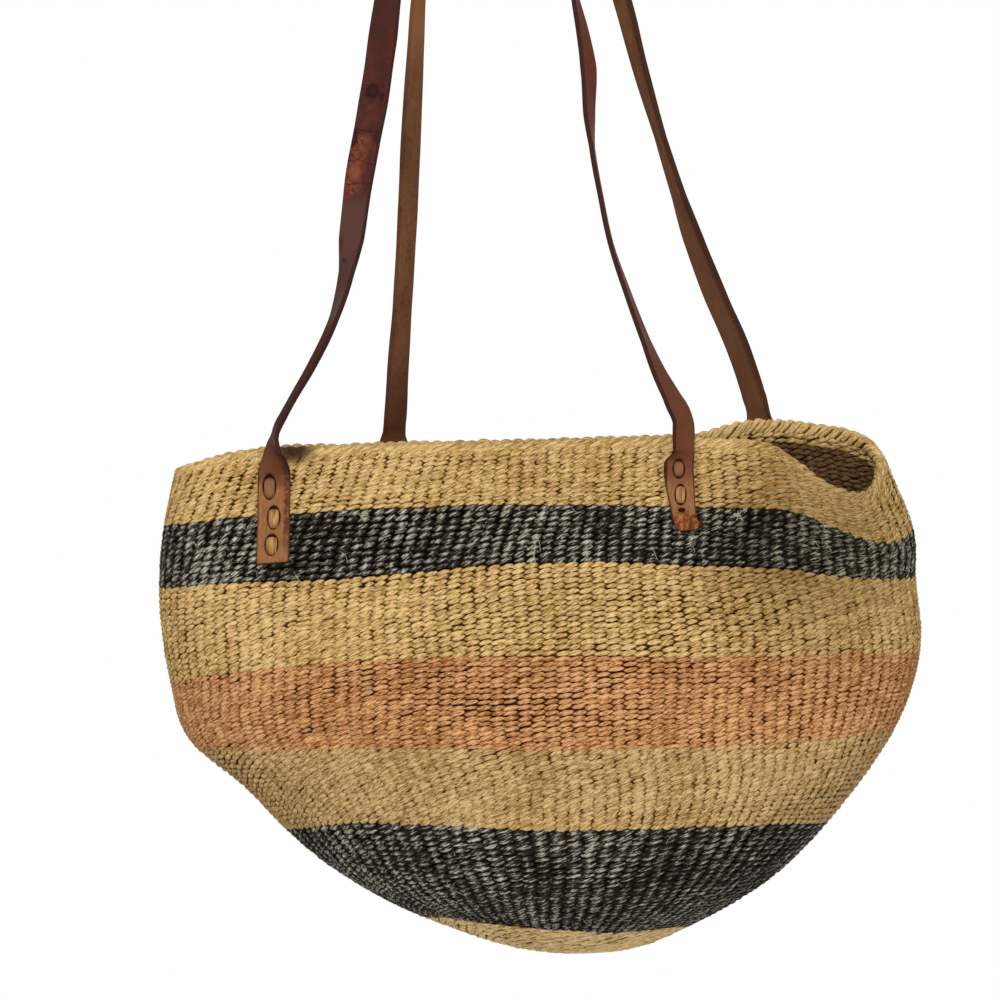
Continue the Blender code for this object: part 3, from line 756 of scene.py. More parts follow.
def make_rim(wall, tree, finish, core_finish):
    """The overcast edge: a strand wrapped over the rim twice for each warp."""
    chance = np.random.default_rng(77)
    centre_out, centre_up = -WALL / 2, wall.top - RIM_THICKNESS / 2
    arc = RIM_THICKNESS / 2 - WRAP_GIRTH
    points, edges, girth, along, shade = [], [], [], [], []
    for wrap in range(WRAPS):
        big = (1.05 if wrap % 2 else 0.96) * chance.normal(1, 0.05)
        share = np.linspace(-1, 1, WRAP_POINTS)
        turn = np.clip(share / WRAP_ARC, -1, 1) * math.pi / 2
        legs = np.maximum(np.abs(share) - WRAP_ARC, 0) / (1 - WRAP_ARC)
        out = centre_out - np.sin(turn) * arc
        draft = chance.normal(0, RIM_DRAFT) + (wrap % 2 - 0.5) * WRAP_STEP
        reach = np.where(share < 0, OUTER_REACH, WRAP_REACH)
        up = centre_up + np.cos(turn) * arc - legs * reach + draft
        slant = np.where(share < 0, WRAP_SLANT * OUTER_SLANT, WRAP_SLANT) / 2
        around = (wrap + 0.5 + share * slant + chance.normal(0, 0.08)) / WRAPS
        line, normals = wall.seat(np.minimum(up, wall.top), around, out)
        spare = np.maximum(up - wall.top, 0)
        line[:, 2] += spare
        first = len(points)
        points.extend(line)
        edges.extend((first + i, first + i + 1) for i in range(WRAP_POINTS - 1))
        outer = (OUTER_GIRTHS[wrap % 2] - big) * (1 - ramp(share, (-0.4, 0.2)))
        girth.extend(WRAP_GIRTH * (big + outer) * (1 - 0.25 * legs**2))
        along.extend(distances(line) / FIBRE_LENGTH)
        shade.extend([chance.uniform(0, 1)] * WRAP_POINTS)
    depth = np.full(len(points), 1.0)
    guide = guide_mesh(points, edges, girth=girth, along=along, shade=shade, depth=depth)
    rim = plain_mesh(guide, "rim_wraps", tree, {"Sides": WRAP_SIDES}, finish)
    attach(rim, "basket")
    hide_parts("rim_braid")
    core = make_core(wall, "rim_core", wall.top - RIM_HEIGHT, wall.top - RIM_DRAFT * 4, core_finish)
    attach(core, "basket")


# Hairs, tufts and a curled thread


def front_seat(wall, x, z):
    """How far up the wall and where around it the point of its front lies that shows at x and z."""
    front = wall.points[:, SKIN_COLUMNS // 2 :]
    away = (front[..., 0] - x) ** 2 + (front[..., 2] - z) ** 2
    row, column = np.unravel_index(np.argmin(away), away.shape)
    return wall.ups[row], (column + SKIN_COLUMNS // 2) / SKIN_COLUMNS


def hair_line(wall, up, around, heading, length, arch, bend, points):
    """A hair that leaves the skin at a place, arches over it and comes back down to it."""
    share = np.linspace(0, 1, points)
    turn = heading + bend * (share - 0.5)
    step = length / (points - 1)
    rise = np.cumsum(np.sin(turn) * step)
    run = np.cumsum(np.cos(turn) * step)
    ups = np.clip(up + rise, 0.001, wall.top - 0.001)
    arounds = around + run / wall.girth(up)
    out = arch * np.sin(math.pi * share) + HAIR_START * (1 - share)
    return wall.seat(ups, arounds, out)[0]


HAIR_START = 0.0002
HAIR_GIRTH = 0.00011
HAIR_POINTS = 7
HAIR_SIDES = 3
# Which part of the wall, how many hairs and their lengths
HAIR_ZONES = (
    ("disc_edge", "dark_top", 126),
    ("dark_top", "middle_top", 109),
    ("middle_top", "upper_dark_top", 101),
    ("upper_dark_top", "rim_top", 50),
)
HAIR_LENGTHS = (0.003, 0.011)
HAIR_ARCH = 0.0009
# Tufts of lint on the upper dark band: across, height, how many hairs and how wide
TUFTS = ((-0.0767, -0.3451, 30, 0.0016), (0.1242, -0.3445, 24, 0.0024), (0.1296, -0.3420, 12, 0.0012))
LONG_HAIRS = ((-0.1134, -0.3726, -0.75, 0.017), (0.0130, -0.3700, 1.60, 0.015), (0.0175, -0.3650, 1.85, 0.010))


def make_hairs(wall, tree, finish):
    """Stray pale fibres all over the weave, denser on the dark yarn, and a few tufts of lint."""
    chance = np.random.default_rng(5)
    lines, thickness = [], []
    for low, high, count in HAIR_ZONES:
        for _ in range(count):
            up = chance.uniform(wall.heights[low], wall.heights[high] - RIM_HEIGHT)
            length = chance.uniform(*HAIR_LENGTHS)
            arch, bend = HAIR_ARCH * chance.uniform(0.4, 1.4), chance.normal(0, 1.3)
            heading = chance.uniform(0, math.tau)
            lines.append(hair_line(wall, up, chance.uniform(0, 1), heading, length, arch, bend, HAIR_POINTS))
            thickness.append(HAIR_GIRTH * chance.uniform(0.6, 1.2))
    for x, z, count, reach in TUFTS:
        up, around = front_seat(wall, x, z)
        for _ in range(count):
            shift = chance.normal(0, reach / 3, 2)
            place = around + shift[0] / wall.girth(up)
            heading, bend = chance.uniform(0, math.tau), chance.normal(0, 3.5)
            length, arch = chance.uniform(0.5, 1.6) * reach, chance.uniform(0.3, 1.0) * HAIR_ARCH * 1.6
            lines.append(hair_line(wall, up + shift[1], place, heading, length, arch, bend, HAIR_POINTS))
            thickness.append(HAIR_GIRTH * chance.uniform(1.2, 2.0))
    for x, z, heading, length in LONG_HAIRS:
        up, around = front_seat(wall, x, z)
        lines.append(hair_line(wall, up, around, heading, length, HAIR_ARCH * 1.5, 0.6, HAIR_POINTS))
        thickness.append(HAIR_GIRTH * 1.5)
    points = np.concatenate(lines)
    edges = [(i, i + 1) for i in range(len(points) - 1) if (i + 1) % HAIR_POINTS]
    girth = np.repeat(thickness, HAIR_POINTS) * np.tile(HAIR_TAPER, len(lines))
    guide = guide_mesh(points, edges, girth=girth)
    hairs = plain_mesh(guide, "stray_fibres", tree, {"Sides": HAIR_SIDES}, finish)
    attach(hairs, "basket")


HAIR_TAPER = (0.4, 1.0, 1.0, 1.0, 1.0, 0.8, 0.3)


# Straps

TAB_STEP = 0.0005
LOOP_STEP = 0.0025
FOLD_GAP = 0.0006
TRACE_ROWS = 120
STRAP_EDGE = 0.0009  # how round the edges of the leather are
FACE_POINTS = 33
BACK_POINTS = 7
EDGE_POINTS = 3
STRAP_CUP = 0.0003
# How each strap end is rolled about its own run: distance above its fold, and degrees
FOLD_ROLLS = {
    "front_left": ((-0.011, 0), (-0.0054, -32), (0.001, -51), (0.0065, -70), (0.0113, -84), (0.016, -82)),
    "front_right": ((-0.006, 0), (-0.003, -14), (0.001, -32), (0.006, -41), (0.011, -50), (0.017, -57)),
    "back_left": ((-0.002, 0), (0.003, 25), (0.007, 50), (0.012, 53)),
    "back_right": ((-0.002, 0), (0.003, 25), (0.007, 50), (0.012, 53)),
}
ROLL_CLEARANCE = 0.014  # how far above the fold a rolled strap stays clear of the rim
# The two edges of each tab where they aren't straight: distance down it, left and right edge
TAB_EDGES = {
    "front_right": (
        (0.0000, -0.0058, 0.0067),
        (0.0020, -0.0062, 0.0064),
        (0.0038, -0.0078, 0.0061),
        (0.0054, -0.0094, 0.0059),
        (0.0070, -0.0101, 0.0058),
        (0.0110, -0.0103, 0.0058),
        (0.0188, -0.0095, 0.0063),
        (0.0250, -0.0084, 0.0066),
        (0.0310, -0.0072, 0.0070),
        (0.0400, -0.0055, 0.0075),
        (0.0440, -0.0048, 0.0098),
        (0.0470, -0.0036, 0.0112),
        (0.0495, -0.0012, 0.0085),
    ),
}
EDGE_FADE = 0.014  # how far up the loop such edges last
ROLL_FADE = 0.015  # how far further the folded end turns into the run of the loop
TAB_LENGTHS = {"front_left": 0.0630, "front_right": 0.0495, "back_left": 0.0660, "back_right": 0.0660}
# The stitches of each lace: distance down the tab, across it, length, share of the full width
# and how deep the stitch is sunk in the leather
LACE_STITCHES = {
    "front_left": (
        (0.0172, -0.0026, 0.0126, 0.98, 0.0),
        (0.0350, 0.0000, 0.0126, 0.96, 0.0),
        (0.0516, -0.0008, 0.0118, 1.02, 0.0),
    ),
    "front_right": (
        (0.0104, -0.0020, 0.0090, 0.88, 0.0003),
        (0.0253, -0.0012, 0.0108, 0.86, 0.0),
        (0.0348, -0.0006, 0.0011, 0.54, 0.0030),
    ),
    "back_left": (
        (0.0180, 0.0, 0.0125, 1.0, 0.0),
        (0.0360, 0.0, 0.0125, 1.0, 0.0),
        (0.0540, 0.0, 0.0125, 1.0, 0.0),
    ),
    "back_right": (
        (0.0200, 0.0, 0.0125, 1.0, 0.0),
        (0.0380, 0.0, 0.0125, 1.0, 0.0),
        (0.0560, 0.0, 0.0125, 1.0, 0.0),
    ),
}
PIT_HALF_WIDTH = 0.0036
PIT_SPARE = 0.0009  # how much longer than its stitch a pit is at each end
PIT_DEPTH = 0.0019
PIT_WALL = (0.88, 1.10)
LIP_HEIGHT = 0.00025
RAGGED = {"front_right": (0.0020, 0.0032)}  # how far its torn end frays and curls
LACE_HALF_WIDTH = 0.0031
LACE_HALF_THICKNESS = 0.0011
LACE_SIDES = 16
LACE_POINTS = 25
LACE_PROUD = -0.0004  # how far the middle of the lace's outer runs stands off the tab's face
LACE_INSIDE = 0.0016


class TabSeat:
    """The line up the wall that a strap end lies along, measured down from its fold."""

    def __init__(self, wall, name, sizes, front):
        fold, _, first, _, stitch = sizes
        self.name, self.front = name, front
        self.sign = -1 if front else 1
        self.first_slot = first - stitch / 2
        x = BASKET_OFFSET + dict(TAB_PLACE_SHARES)[name] * BASKET_WIDTH / 2
        half = slice(SKIN_COLUMNS // 2, None) if front else slice(0, SKIN_COLUMNS // 2)
        points, normals = [], []
        even = np.arange(SKIN_COLUMNS) / SKIN_COLUMNS
        for up in np.linspace(wall.heights["rust_top"], wall.top, TRACE_ROWS):
            ring, normal = wall.seat(np.full(SKIN_COLUMNS, up), even)
            ring, normal = ring[half], normal[half]
            order = np.argsort(ring[:, 0])
            points.append([np.interp(x, ring[order, 0], ring[order, axis]) for axis in range(3)])
            normals.append([np.interp(x, ring[order, 0], normal[order, axis]) for axis in range(3)])
        points, normals = np.array(points), unit(np.array(normals))
        above = points[-1] + unit(points[-1] - points[-2]) * STRAP_WIDTH
        self.points = np.concatenate([[above], points[::-1]])
        self.normals = np.concatenate([normals[-1:], normals[::-1]])
        self.down = distances(self.points) - STRAP_WIDTH - fold

    def read(self, values, down):
        return np.array([np.interp(down, self.down, values[:, axis]) for axis in range(3)])

    def place(self, down, out):
        """A point at a distance down the wall and out of it, with the directions there."""
        step = 0.0025
        along = unit(self.read(self.points, down + step) - self.read(self.points, down - step))
        normal = self.read(self.normals, down)
        normal = unit(normal - along * np.dot(normal, along))
        return self.read(self.points, down) + normal * out, np.cross(along, normal), normal, along

    def leather(self, down):
        """The middle of the tab's leather, which leaves the wall above its first slot."""
        free = max(self.first_slot - down, 0.0)
        lean = TAB_LEAN * free * free / (2 * self.first_slot)
        return self.place(down, self.face() - STRAP_THICKNESS / 2 + lean)

    def face(self):
        return (RIM_THICKNESS - WALL) / 2 + TAB_CLEARANCE + STRAP_THICKNESS


def loop_run(seats, shares, front):
    """A strap's free loop from fold to fold: its middles and rolls."""
    folds = [seat.leather(0)[0] for seat in seats]
    outward = -1 if front else 1
    crown = np.array([0, outward * CROWN_SPACING / 2, STRAP_THICKNESS / 2])
    controls = []
    for across, up, inward, _ in shares:
        low = folds[0] + (folds[1] - folds[0]) * across
        depth = low[1] + (crown[1] - low[1]) * inward
        controls.append((low[0], depth, low[2] + (crown[2] - low[2]) * up))
    for index, fold, seat in ((1, folds[0], seats[0]), (-1, folds[1], seats[1])):
        pull = unit(fold - seat.leather(STRAP_THICKNESS)[0])
        controls.insert(index, fold + pull * STRAP_THICKNESS)
    controls = np.array(controls)
    knots = distances(controls)
    places = np.linspace(FOLD_GAP / 2, knots[-1] - FOLD_GAP / 2, round(knots[-1] / LOOP_STEP))
    rolls = np.interp(places, knots, [0, *[row[3] for row in shares], 0])
    return smooth_curve(knots, controls, places), rolls


def strap_section():
    """The leather's section: for each point the share of half the width that it lies at, how far
    past that, how far out of the middle, and 1 on the grain, 0.5 on an edge or 0 on the flesh."""
    half = STRAP_THICKNESS / 2
    soft = STRAP_EDGE / 2
    turns = np.linspace(0, math.pi / 2, EDGE_POINTS + 1)[1:]
    edge = [(1, STRAP_EDGE * math.sin(t), half - STRAP_EDGE * (1 - math.cos(t)), 0.5) for t in turns]
    edge += [(1, STRAP_EDGE, soft - half, 0.5), (1, STRAP_EDGE - soft, -half, 0.5)]
    face = [(share, 0, half, 1) for share in np.linspace(-1, 1, FACE_POINTS)]
    back = [(share, 0, -half, 0) for share in np.linspace(0.9, -0.9, BACK_POINTS)]
    mirrored = [(-share, -past, out, part) for share, past, out, part in edge[::-1]]
    return np.array(face + edge + back + mirrored).T


def strap_edges(name, down):
    """The half widths of a strap end to its left and right at distances down it."""
    rows = np.array(TAB_EDGES.get(name, ((0, -STRAP_WIDTH / 2, STRAP_WIDTH / 2),)))
    left, right = (np.interp(down, rows[:, 0], rows[:, column]) for column in (1, 2))
    fade = ramp(-down, (0, EDGE_FADE))
    return -left + (STRAP_WIDTH / 2 + left) * fade, right + (STRAP_WIDTH / 2 - right) * fade


def pit_depths(name, across, down):
    """How deep the leather is pressed in round each stitch of the lace: 0 to 1, and its lip."""
    pit, lip = np.zeros(np.broadcast(across, down).shape), 0.0
    for middle, offset, length, wide, _ in LACE_STITCHES[name]:
        sides = (across - offset) / (PIT_HALF_WIDTH * wide)
        reach = np.hypot(sides, (down - middle) / (length / 2 + PIT_SPARE))
        pit = np.maximum(pit, 1 - ramp(reach, PIT_WALL))
        lip = lip + np.exp(-(((reach - 1.25) / 0.12) ** 2))
    return pit, lip


def make_strap(side, tabs, shares, front, wall, finish):
    """One strip of leather from the end of its left tab over the crown to its right tab's end."""
    seats = [TabSeat(wall, name, sizes, front) for name, sizes in tabs.items()]
    left, right = seats
    loop, rolls = loop_run(seats, shares, front)
    downs = [np.arange(FOLD_GAP / 2, TAB_LENGTHS[seat.name], TAB_STEP) for seat in seats]
    left_tab = [left.leather(down)[:2] for down in downs[0][::-1]]
    right_tab = [right.leather(down)[:2] for down in downs[1]]
    middles = np.concatenate([[m for m, _ in left_tab], loop, [m for m, _ in right_tab]])
    run = distances(middles)
    along = unit(np.gradient(middles, run, axis=0))
    away = np.array([0.0, 1.0, 0.0])
    back = unit(away - along * along[:, 1:2])
    across = np.cross(back, along)
    signs = (-1, 1) if front else (1, -1)
    across[: len(left_tab)] = [signs[0] * s for _, s in left_tab]
    across[-len(right_tab) :] = [signs[1] * s for _, s in right_tab]
    across = unit(across - along * (across * along).sum(axis=1, keepdims=True))
    back = -np.cross(across, along)
    fold_left = run[len(left_tab)] - FOLD_GAP / 2
    fold_right = run[-len(right_tab)] + FOLD_GAP / 2
    ways = np.stack([run - fold_left, fold_right - run])
    rolls = np.concatenate([np.zeros(len(left_tab)), rolls, np.zeros(len(right_tab))])
    shift = np.zeros(len(run))
    for seat, way in zip(seats, ways):
        table = np.array(FOLD_ROLLS[seat.name], float)
        near = way < table[-1, 0]
        blend = ramp(way, (table[-1, 0], table[-1, 0] + ROLL_FADE))
        own = np.interp(way, table[:, 0], table[:, 1])
        rolls = np.where(near, own, own + (rolls - own) * blend)
        lift = STRAP_WIDTH / 2 * np.abs(np.sin(np.radians(rolls)))
        shift += seat.sign * lift * (1 - ramp(way, (0, ROLL_CLEARANCE)))
    middles = middles + back * shift[:, None]
    turns = np.radians(rolls)[:, None]
    sideways = np.cos(turns) * across + np.sin(turns) * back
    outward = np.cross(sideways, along)

    share, past, out, part = strap_section()
    face = 1 if front else -1
    half = np.stack([strap_edges(seat.name, -way) for seat, way in zip(seats, ways)])
    nearer_left = ways[0] < ways[1]
    half_left = np.where(nearer_left, half[0, 0], half[1, 1]) * leather_wave(run, 0.0)
    half_right = np.where(nearer_left, half[0, 1], half[1, 0]) * leather_wave(run, 2.0)
    width = np.where(share[None] < 0, half_left[:, None], half_right[:, None]) - STRAP_EDGE
    a = share[None] * width + past[None]
    b = np.broadcast_to(out, a.shape).copy()
    b += STRAP_CUP * (a / STRAP_WIDTH * 2) ** 2
    pit_all = np.zeros(a.shape)
    slide = np.zeros(a.shape)
    for seat, way, hand in zip(seats, ways, (1, -1)):
        down = np.broadcast_to(-way[:, None], a.shape)
        on_tab = (down > 0) & (part[None] == 1)
        pit, lip = pit_depths(seat.name, a * hand, down)
        b = np.where(on_tab, b - PIT_DEPTH * pit + LIP_HEIGHT * lip, b)
        pit_all = np.where(on_tab, pit, pit_all)
        if seat.name in RAGGED:
            fray, curl = RAGGED[seat.name]
            length = TAB_LENGTHS[seat.name]
            end = ramp(down, (length - 0.012, length))
            slide = slide + end * fray * (np.sin(a * 2100) + 0.7 * np.sin(a * 4700 + 1) - 0.5)
            b = b + curl * end**2 * np.clip(a * hand / STRAP_WIDTH * 2, -0.3, 1)
    points = (
        middles[:, None]
        + sideways[:, None] * a[..., None]
        + outward[:, None] * (b * face)[..., None]
        + along[:, None] * slide[..., None]
    )
    rows, columns = a.shape
    faces = ring_faces(rows, columns)
    faces += [tuple(range(columns))[::-1], tuple(range((rows - 1) * columns, rows * columns))]
    if volume(points.reshape(-1, 3), faces) < 0:
        faces = [quad[::-1] for quad in faces]
    strap = mesh_object(f"{side}_strap_leather", points.reshape(-1, 3), faces, [finish])
    spread = np.ones(a.shape)
    put_attributes(
        strap,
        left=ways[0][:, None] * spread,
        right=ways[1][:, None] * spread,
        side=a / STRAP_WIDTH * 2,
        over=a / STRAP_WIDTH * 2 * np.where(nearer_left, 1, -1)[:, None],
        part=part[None] * spread,
        pit=pit_all,
    )
    hinges = [seat.leather(0)[0] for seat in seats]
    axis = unit(hinges[1] - hinges[0])
    middle = (hinges[0] + hinges[1]) / 2
    upward = unit(np.array([-axis[2], 0.0, axis[0]]))
    tuple(middle - upward * BEND_BELOW)
    tuple(middle + upward * BEND_ABOVE)
    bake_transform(strap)
    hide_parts(f"{side}_strap", *[f"{seat.name}_tab" for seat in seats])
    return seats


BEND_BELOW = 0.004
BEND_ABOVE = 0.007


def leather_wave(run, phase):
    """The cut edges of the leather run a little unevenly along it."""
    return 1 + 0.022 * np.sin(run * 61 + phase) + 0.012 * np.sin(run * 173 + 3 * phase)


def put_attributes(made, **attributes):
    for name, values in attributes.items():
        layer = made.data.attributes.new(name, "FLOAT", "POINT")
        layer.data.foreach_set("value", np.asarray(values, np.float32).ravel())


def make_lace(seat, finish):
    """One lace sewn in and out of a strap end and the wall, plump where it shows."""
    level_in = -WALL - LACE_INSIDE
    level_out = seat.face() + LACE_PROUD
    stitches = LACE_STITCHES[seat.name]
    points, width, tone, bulk = [], [], [], []
    runs = []
    for number, (middle, offset, length, wide, sunk) in enumerate(stitches):
        shade = 0.0 if number == 0 else 1.0
        runs.append((middle, offset, offset, length, level_out - sunk, wide, shade))
        if number + 1 < len(stitches):
            following = stitches[number + 1]
            low, high = middle + length / 2, following[0] - following[2] / 2
            runs.append(((low + high) / 2, offset, following[1], high - low, level_in - LACE_INSIDE, 0.0, 0.5))
    start = level_in + LACE_INSIDE * 0.5
    for middle, offset, end_offset, length, level, wide, shade in runs:
        for share in np.linspace(-1, 1, LACE_POINTS)[: -1 if wide else None]:
            arch = max(1 - share**4, 0.0) ** 0.5
            down = middle + share * length / 2
            out = start + (level - start) * arch
            place, sideways, _, _ = seat.place(down, out)
            shift = offset + (end_offset - offset) * (share + 1) / 2
            points.append(place + sideways * seat.sign * shift)
            round_end = 0.66 + 0.34 * max(1 - share**2, 0.0) ** 0.5
            width.append(round_end * wide if wide else 0.6)
            tone.append(shade)
    points = np.array(points)
    keep = np.concatenate([[True], np.linalg.norm(np.diff(points, axis=0), axis=1) > 1e-5])
    points, width, tone = points[keep], np.array(width)[keep], np.array(tone)[keep]
    along = unit(np.gradient(points, axis=0))
    side = np.array([seat.place(0.03, 0)[1] * seat.sign] * len(points))
    side = unit(side - along * (side * along).sum(axis=1, keepdims=True))
    thick = np.cross(side, along)
    turn = np.arange(LACE_SIDES) / LACE_SIDES * math.tau
    across, other = np.cos(turn), np.sin(turn)
    ring = (
        points[:, None]
        + side[:, None] * (across[None, :, None] * (width * LACE_HALF_WIDTH)[:, None, None])
        + thick[:, None] * (other[None, :, None] * LACE_HALF_THICKNESS)
    )
    faces = ring_faces(len(points), LACE_SIDES)
    last = (len(points) - 1) * LACE_SIDES
    faces += [tuple(range(LACE_SIDES))[::-1], tuple(range(last, last + LACE_SIDES))]
    faces = [quad[::-1] for quad in faces] if volume(ring.reshape(-1, 3), faces) < 0 else faces
    lace = mesh_object(f"{seat.name}_lacing", ring.reshape(-1, 3), faces, [finish])
    put_attributes(
        lace,
        way=np.repeat(distances(points), LACE_SIDES),
        tone=np.repeat(tone, LACE_SIDES),
        across=np.tile(across, len(points)),
        other=np.tile(other, len(points)),
    )
    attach(lace, "basket")
    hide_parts(f"{seat.name}_lace")


def volume(points, faces):
    """The space that a closed mesh encloses, below 0 where its faces look inwards."""
    total = 0.0
    for face in faces:
        for second, third in zip(face[1:], face[2:]):
            total += np.dot(points[face[0]], np.cross(points[second], points[third]))
    return total / 6


# Leather


def strap_finish():
    """Burgundy grain leather, worn to tan on the tabs and in a patch up the left leg, with dark cut edges, a round
    scar and the creases where it has been bent, which are darkened as painted shade."""
    finish = Finish("burgundy grain leather", {"Specular IOR Level": 0.06})
    left, right, side = finish.read("left"), finish.read("right"), finish.read("side")
    part, pit = finish.read("part"), finish.read("pit")
    run = finish.node("ShaderNodeCombineXYZ", {0: left * 1.0, 1: side * 0.00875, 2: right * 0.0})
    broad = finish.noise(run, scale=70.0, detail=3.0)
    fine = finish.noise(run, scale=900.0, detail=2.0)
    streak = finish.noise(finish.stretch(run, (0.35, 2.2, 1.0)), scale=420.0, detail=3.0)
    mottle = finish.noise(run, scale=330.0, detail=4.0, roughness=0.65)
    colour = finish.mix(finish.ramp(broad, 0.35, 0.68), srgb(62, 31, 24), srgb(82, 42, 33))
    other_leg = 1 - finish.ramp(right, 0.26, 0.32)
    colour = finish.mix(other_leg, colour, finish.mix(mottle, srgb(84, 38, 28), srgb(116, 60, 42)))
    high = finish.ramp(left, 0.200, 0.245) * (1 - other_leg)
    colour = finish.mix(high * 0.7, colour, srgb(64, 33, 28))
    dull = finish.ramp(left, 0.100, 0.125) * (1 - finish.ramp(left, 0.142, 0.156))
    colour = finish.mix(dull * 0.8, colour, srgb(88, 56, 50))
    wobble = left + (broad - 0.5) * 0.012 + (mottle - 0.5) * 0.008
    over = side + (mottle - 0.5) * 2.6
    patch = finish.ramp(wobble, 0.147, 0.152) * (1 - finish.ramp(wobble, 0.180, 0.185))
    inner = finish.ramp(over, -1.3, -0.5) * (1 - finish.ramp(over, 0.0, 0.8))
    rubbed = finish.mix(finish.ramp(mottle, 0.35, 0.65), srgb(84, 42, 32), srgb(118, 66, 44))
    colour = finish.mix(patch * inner, colour, rubbed)
    for up, across, tall, wide, amount, shade in SMUDGES:
        far = ((left - up) * (1 / tall)).math("POWER", 2.0) + ((side - across) * (1 / wide)).math("POWER", 2.0)
        reach = far.math("SQRT") + (mottle - 0.5) * 1.4
        colour = finish.mix((1 - finish.ramp(reach, 0.5, 1.2)) * amount, colour, shade)
    # Painted shade along the creases, which also dent the relief
    creases = 0.0
    for middle, tilt, width, strength in CREASES:
        away = (left + side * tilt + (broad - 0.5) * 0.006 + (fine - 0.5) * 0.001 - middle).math("ABSOLUTE")
        creases = (1 - finish.ramp(away, width * 0.3, width)) * strength + creases
    colour = finish.mix(creases.math("MINIMUM", 0.9), colour, srgb(54, 26, 24))
    scar = scar_ring(finish, left, side, mottle)
    colour = finish.mix(scar * 0.9, colour, srgb(42, 18, 16))
    blush = finish.ramp(side, 0.2, 0.7) * finish.ramp(left, 0.214, 0.222) * (1 - finish.ramp(left, 0.236, 0.243))
    colour = finish.mix(blush * finish.ramp(mottle, 0.4, 0.7), colour, srgb(88, 34, 30))
    thin = finish.ramp(left, 0.008, 0.022) * (1 - finish.ramp(left, 0.070, 0.086))
    colour = finish.mix(thin * 0.85, colour, finish.mix(finish.ramp(mottle, 0.35, 0.65), srgb(46, 27, 20), srgb(70, 46, 36)))
    # The tabs and the lower part of the right leg
    smooth = 1 - finish.ramp(right, 0.020, 0.075)
    colour = finish.mix(smooth * 0.85, colour, finish.mix(broad, srgb(92, 53, 36), srgb(112, 68, 43)))
    worn_left = 1 - finish.ramp(left + (broad - 0.5) * 0.010, -0.020, -0.009)
    worn_right = 1 - finish.ramp(right + (broad - 0.5) * 0.012, -0.025, -0.010)
    worn = worn_left.math("MAXIMUM", worn_right)
    tan = finish.mix(finish.ramp(streak, 0.35, 0.65), srgb(128, 84, 50), srgb(146, 100, 64))
    tan = finish.mix(finish.ramp(broad, 0.5, 0.75) * 0.6, tan, srgb(142, 82, 50))
    colour = finish.mix(worn, colour, tan)
    upper_tab = (1 - finish.ramp(left, -0.008, 0.012)) * (1 - worn_left)
    colour = finish.mix(upper_tab * 0.8, colour, finish.mix(broad, srgb(96, 57, 37), srgb(118, 74, 46)))
    rough_end = 1 - finish.ramp(right + (mottle - 0.5) * 0.006, -0.040, -0.032)
    torn = finish.mix(finish.ramp(mottle, 0.40, 0.62), srgb(86, 48, 24), srgb(164, 98, 56))
    torn = finish.mix(finish.ramp(streak, 0.34, 0.42), srgb(44, 24, 12), torn)
    colour = finish.mix(rough_end, colour, torn)
    # Dark edges, the stained right edge of the left tab and the shade in the pits
    rim = finish.ramp(side.math("ABSOLUTE"), 0.90, 0.98)
    colour = finish.mix(rim * (1 - worn * 0.55), colour, srgb(46, 24, 20))
    stained = finish.ramp(side + (mottle - 0.5) * 0.3, 0.54, 0.74) * (1 - finish.ramp(left, 0.005, 0.020)) * finish.ramp(left + (broad - 0.5) * 0.01, -0.066, -0.040)
    colour = finish.mix(stained * finish.ramp(mottle, 0.30, 0.55) * 0.85, colour, srgb(70, 38, 26))
    cut = finish.mix(worn, srgb(56, 31, 24), srgb(92, 54, 36))
    colour = finish.mix(1 - finish.ramp(part, 0.55, 0.95), colour, cut)
    colour = finish.mix(finish.ramp(pit, 0.05, 0.55), colour, srgb(40, 22, 15))
    relief = fine * 0.5 + broad * 0.5 + streak * 0.4 - creases * 1.2
    sheen = (finish.ramp(broad, 0.3, 0.7) * 0.15 + worn * 0.20 + thin * 0.4 + 0.5).math("MINIMUM", 1.0)
    return finish.finish(colour, relief=relief, height=0.0004, roughness=sheen)


# Creases across the left leg: distance up from the fold, slant, half width and strength of their painted shade and
# dent
CREASES = (
    (0.1845, 0.0004, 0.0006, 0.7),
    (0.1685, 0.0010, 0.0006, 0.5),
    (0.1560, -0.0006, 0.0006, 0.6),
    (0.0060, 0.0020, 0.0006, 0.5),
)
# Smudges up the left leg: distance up it, across it, half height, half width, strength and colour
SMUDGES = (
    (0.1795, -0.85, 0.0060, 0.40, 0.90, srgb(44, 22, 18)),
    (0.1820, 0.80, 0.0035, 0.35, 0.80, srgb(50, 24, 24)),
    (0.1690, 0.55, 0.0065, 0.22, 0.55, srgb(64, 32, 36)),
    (0.1590, 0.45, 0.0055, 0.25, 0.55, srgb(62, 30, 33)),
    (0.1500, -0.75, 0.0055, 0.35, 0.55, srgb(100, 42, 36)),
    (0.2040, 0.62, 0.0024, 0.22, 0.85, srgb(50, 14, 12)),
    (0.2330, 0.80, 0.0050, 0.20, 0.40, srgb(98, 32, 28)),
    (0.1620, -0.35, 0.0045, 0.45, 0.45, srgb(136, 80, 48)),
    (0.1140, -0.30, 0.0013, 0.36, 0.80, srgb(46, 24, 24)),
    (0.1230, -0.70, 0.0040, 0.22, 0.55, srgb(56, 30, 30)),
)
SCAR = (0.2065, -0.10)  # distance up the left leg and across it
SCAR_RADIUS = 0.0040


